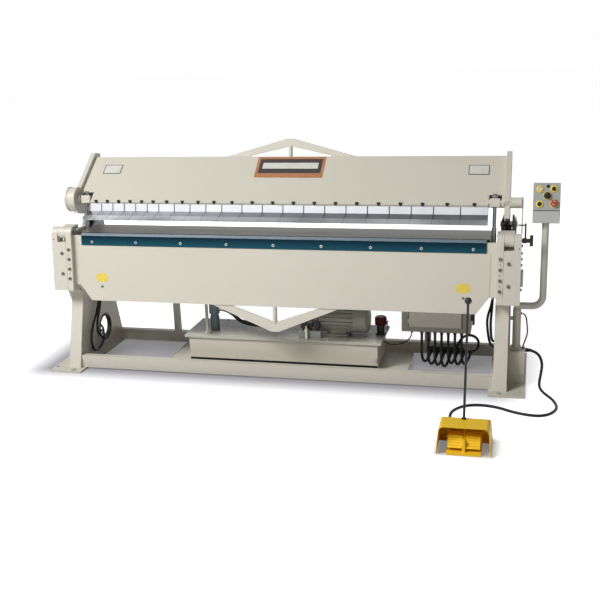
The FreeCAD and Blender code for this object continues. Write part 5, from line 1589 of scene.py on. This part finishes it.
piece("lid_lug", drawn(lid_lug), "cream_paint", "frame", soft=0)
print("lug")

# %% [markdown]
# The motor is lifted by an eye bolt, a bent ring on a turned foot. Its terminal box has a
# screwed lid and a gland in front.

# %% Motor pieces
motor_mid_z = deck + 0.088
eye_x, eye_y, eye_radius = 0.392, 0.130, 0.011
terminal_x, terminal_y = (0.275, 0.369), (0.086, 0.174)


def eye_bolt(bm):
    top = motor_mid_z + 0.081
    steps = 32
    ring = []
    for k in range(steps + 1):
        turn = 2 * math.pi * k / steps
        ring.append((eye_x + eye_radius * math.sin(turn), eye_y, top + 0.014 - eye_radius * math.cos(turn)))
    tube_path(bm, ring, 0.0032, sides=12)
    foot_outline = [(0, 0.007), (0.008, 0.007), (0.010, 0.004), (0.010, 0)]
    lathe(bm, (eye_x, eye_y, top - 0.006), upward, foot_outline, sides=20)


def terminal_lid(bm):
    top = motor_mid_z + 0.116
    block(bm, (terminal_x[0], terminal_y[0], motor_mid_z + 0.1105), (terminal_x[1], terminal_y[1], top))
    for x in (terminal_x[0] + 0.008, terminal_x[1] - 0.008):
        for y in (terminal_y[0] + 0.008, terminal_y[1] - 0.008):
            socket_screw(bm, (x, y, top), upward, 0.0035, 0.0025)
    gland = [(0, 0.010), (0.004, 0.010), (0.006, 0.0085, "hexagon"), (0.016, 0.0085, "hexagon"),
             (0.018, 0.006), (0.018, 0)]
    lathe(bm, (sum(terminal_x) / 2, terminal_y[0], motor_mid_z + 0.088), toward_front, gland, sides=24)


piece("motor_eye_bolt", drawn(eye_bolt), "zinc_steel", "frame", soft=0)
piece("terminal_lid", drawn(terminal_lid), "motor_paint", "frame", soft=0.0012)
print("motor pieces")

# %% [markdown]
# The relief valve limits the oil pressure. It is a turned plug with a hexagon to hold it by and
# a brass nut on top, so it is two pieces with a finish each.

# %% Relief valve with a brass top
valve_x, valve_y = 0.146, -0.022


def relief_body(bm):
    outline = [(0, 0.0120), (0.012, 0.0120), (0.013, 0.0105), (0.050, 0.0105), (0.051, 0.0135, "hexagon"),
               (0.062, 0.0135, "hexagon"), (0.063, 0.009), (0.063, 0)]
    lathe(bm, (valve_x, valve_y, deck), upward, outline, sides=24)


def relief_top(bm):
    outline = [(0, 0.0085), (0.006, 0.0085), (0.007, 0.0068), (0.017, 0.0068), (0.019, 0.0050), (0.0205, 0)]
    lathe(bm, (valve_x, valve_y, deck + 0.062), upward, outline, sides=24)


piece("relief_body", drawn(relief_body), "zinc_steel", "frame", soft=0, replaces=["relief_valve"])
piece("relief_top", drawn(relief_top), "brass", "frame", soft=0, replaces=["relief_valve"])
print("relief valve")

# %% [markdown]
# A black block along the foot of the tank's front is painted shade, where the tank meets the base. It is one
# long block.

# %% Painted shade at the foot of the tank
def foot_shade_block(bm):
    block(bm, (-0.612, -0.0335, 0.0222), (0.584, -0.0200, 0.0500))


piece("tank_foot_shade", drawn(foot_shade_block), "black_rubber", "frame", soft=0)
print("tank strip")

# %% [markdown]
# ## Enclosure and welds
# A rubber seal shows as a dark line round the enclosure's door. It is four thin blocks in a
# frame: the lower and upper one run the full width and the other two fit between them.

# %% Door seal
def door_seal(bm):
    low_x, high_x, low_z, high_z = 0.7545, 1.0765, 0.2595, 0.4445
    wide, front, back = 0.0052, 0.1178, 0.1205
    for z in (low_z, high_z - wide):
        block(bm, (low_x, front, z), (high_x, back, z + wide))
    for x in (low_x, high_x - wide):
        block(bm, (x, front, low_z + wide), (x + wide, back, high_z - wide))


piece("door_seal", drawn(door_seal), "black_rubber", "frame", soft=0)
print("door seal")

# %% [markdown]
# The frame is welded, so a bead with small ripples runs along each joint of the rails, the webs
# and the foot plates. A bead is a thin round bar whose radius changes from step to step.

# %% Weld beads
def bead(bm, start, end, radius):
    along = Vector(end) - Vector(start)
    ripple = 0.005
    steps = max(4, int(along.length / ripple))
    outline = [(0, 0)]
    for k in range(steps + 1):
        outline.append((along.length * k / steps, radius * (1.0 if k % 2 else 0.84)))
    outline.append((along.length, 0))
    lathe(bm, start, along, outline, sides=10)


def frame_welds(bm):
    foot_top = 0.012
    for side in (-1, 1):
        inner, outer = side * (web_in - 0.001), side * (web_out + 0.001)
        for y, top in ((-0.2155, 0.089), (-0.1745, 0.089), (0.3445, 0.085), (0.3855, 0.085)):
            bead(bm, (inner, y, 0.014), (inner, y, top), 0.0036)
        bead(bm, (inner, -0.17, foot_top), (inner, 0.34, foot_top), 0.004)
        bead(bm, (outer, 0.0, foot_top), (outer, 0.40, foot_top), 0.004)
    for x in (-0.763, 0.763):
        bead(bm, (x, -0.17, 0.0225), (x, 0.34, 0.0225), 0.003)


piece("frame_welds", drawn(frame_welds), "cream_paint", "frame", soft=0)
print("weld beads")

# %% Finish
print("scene dressed")
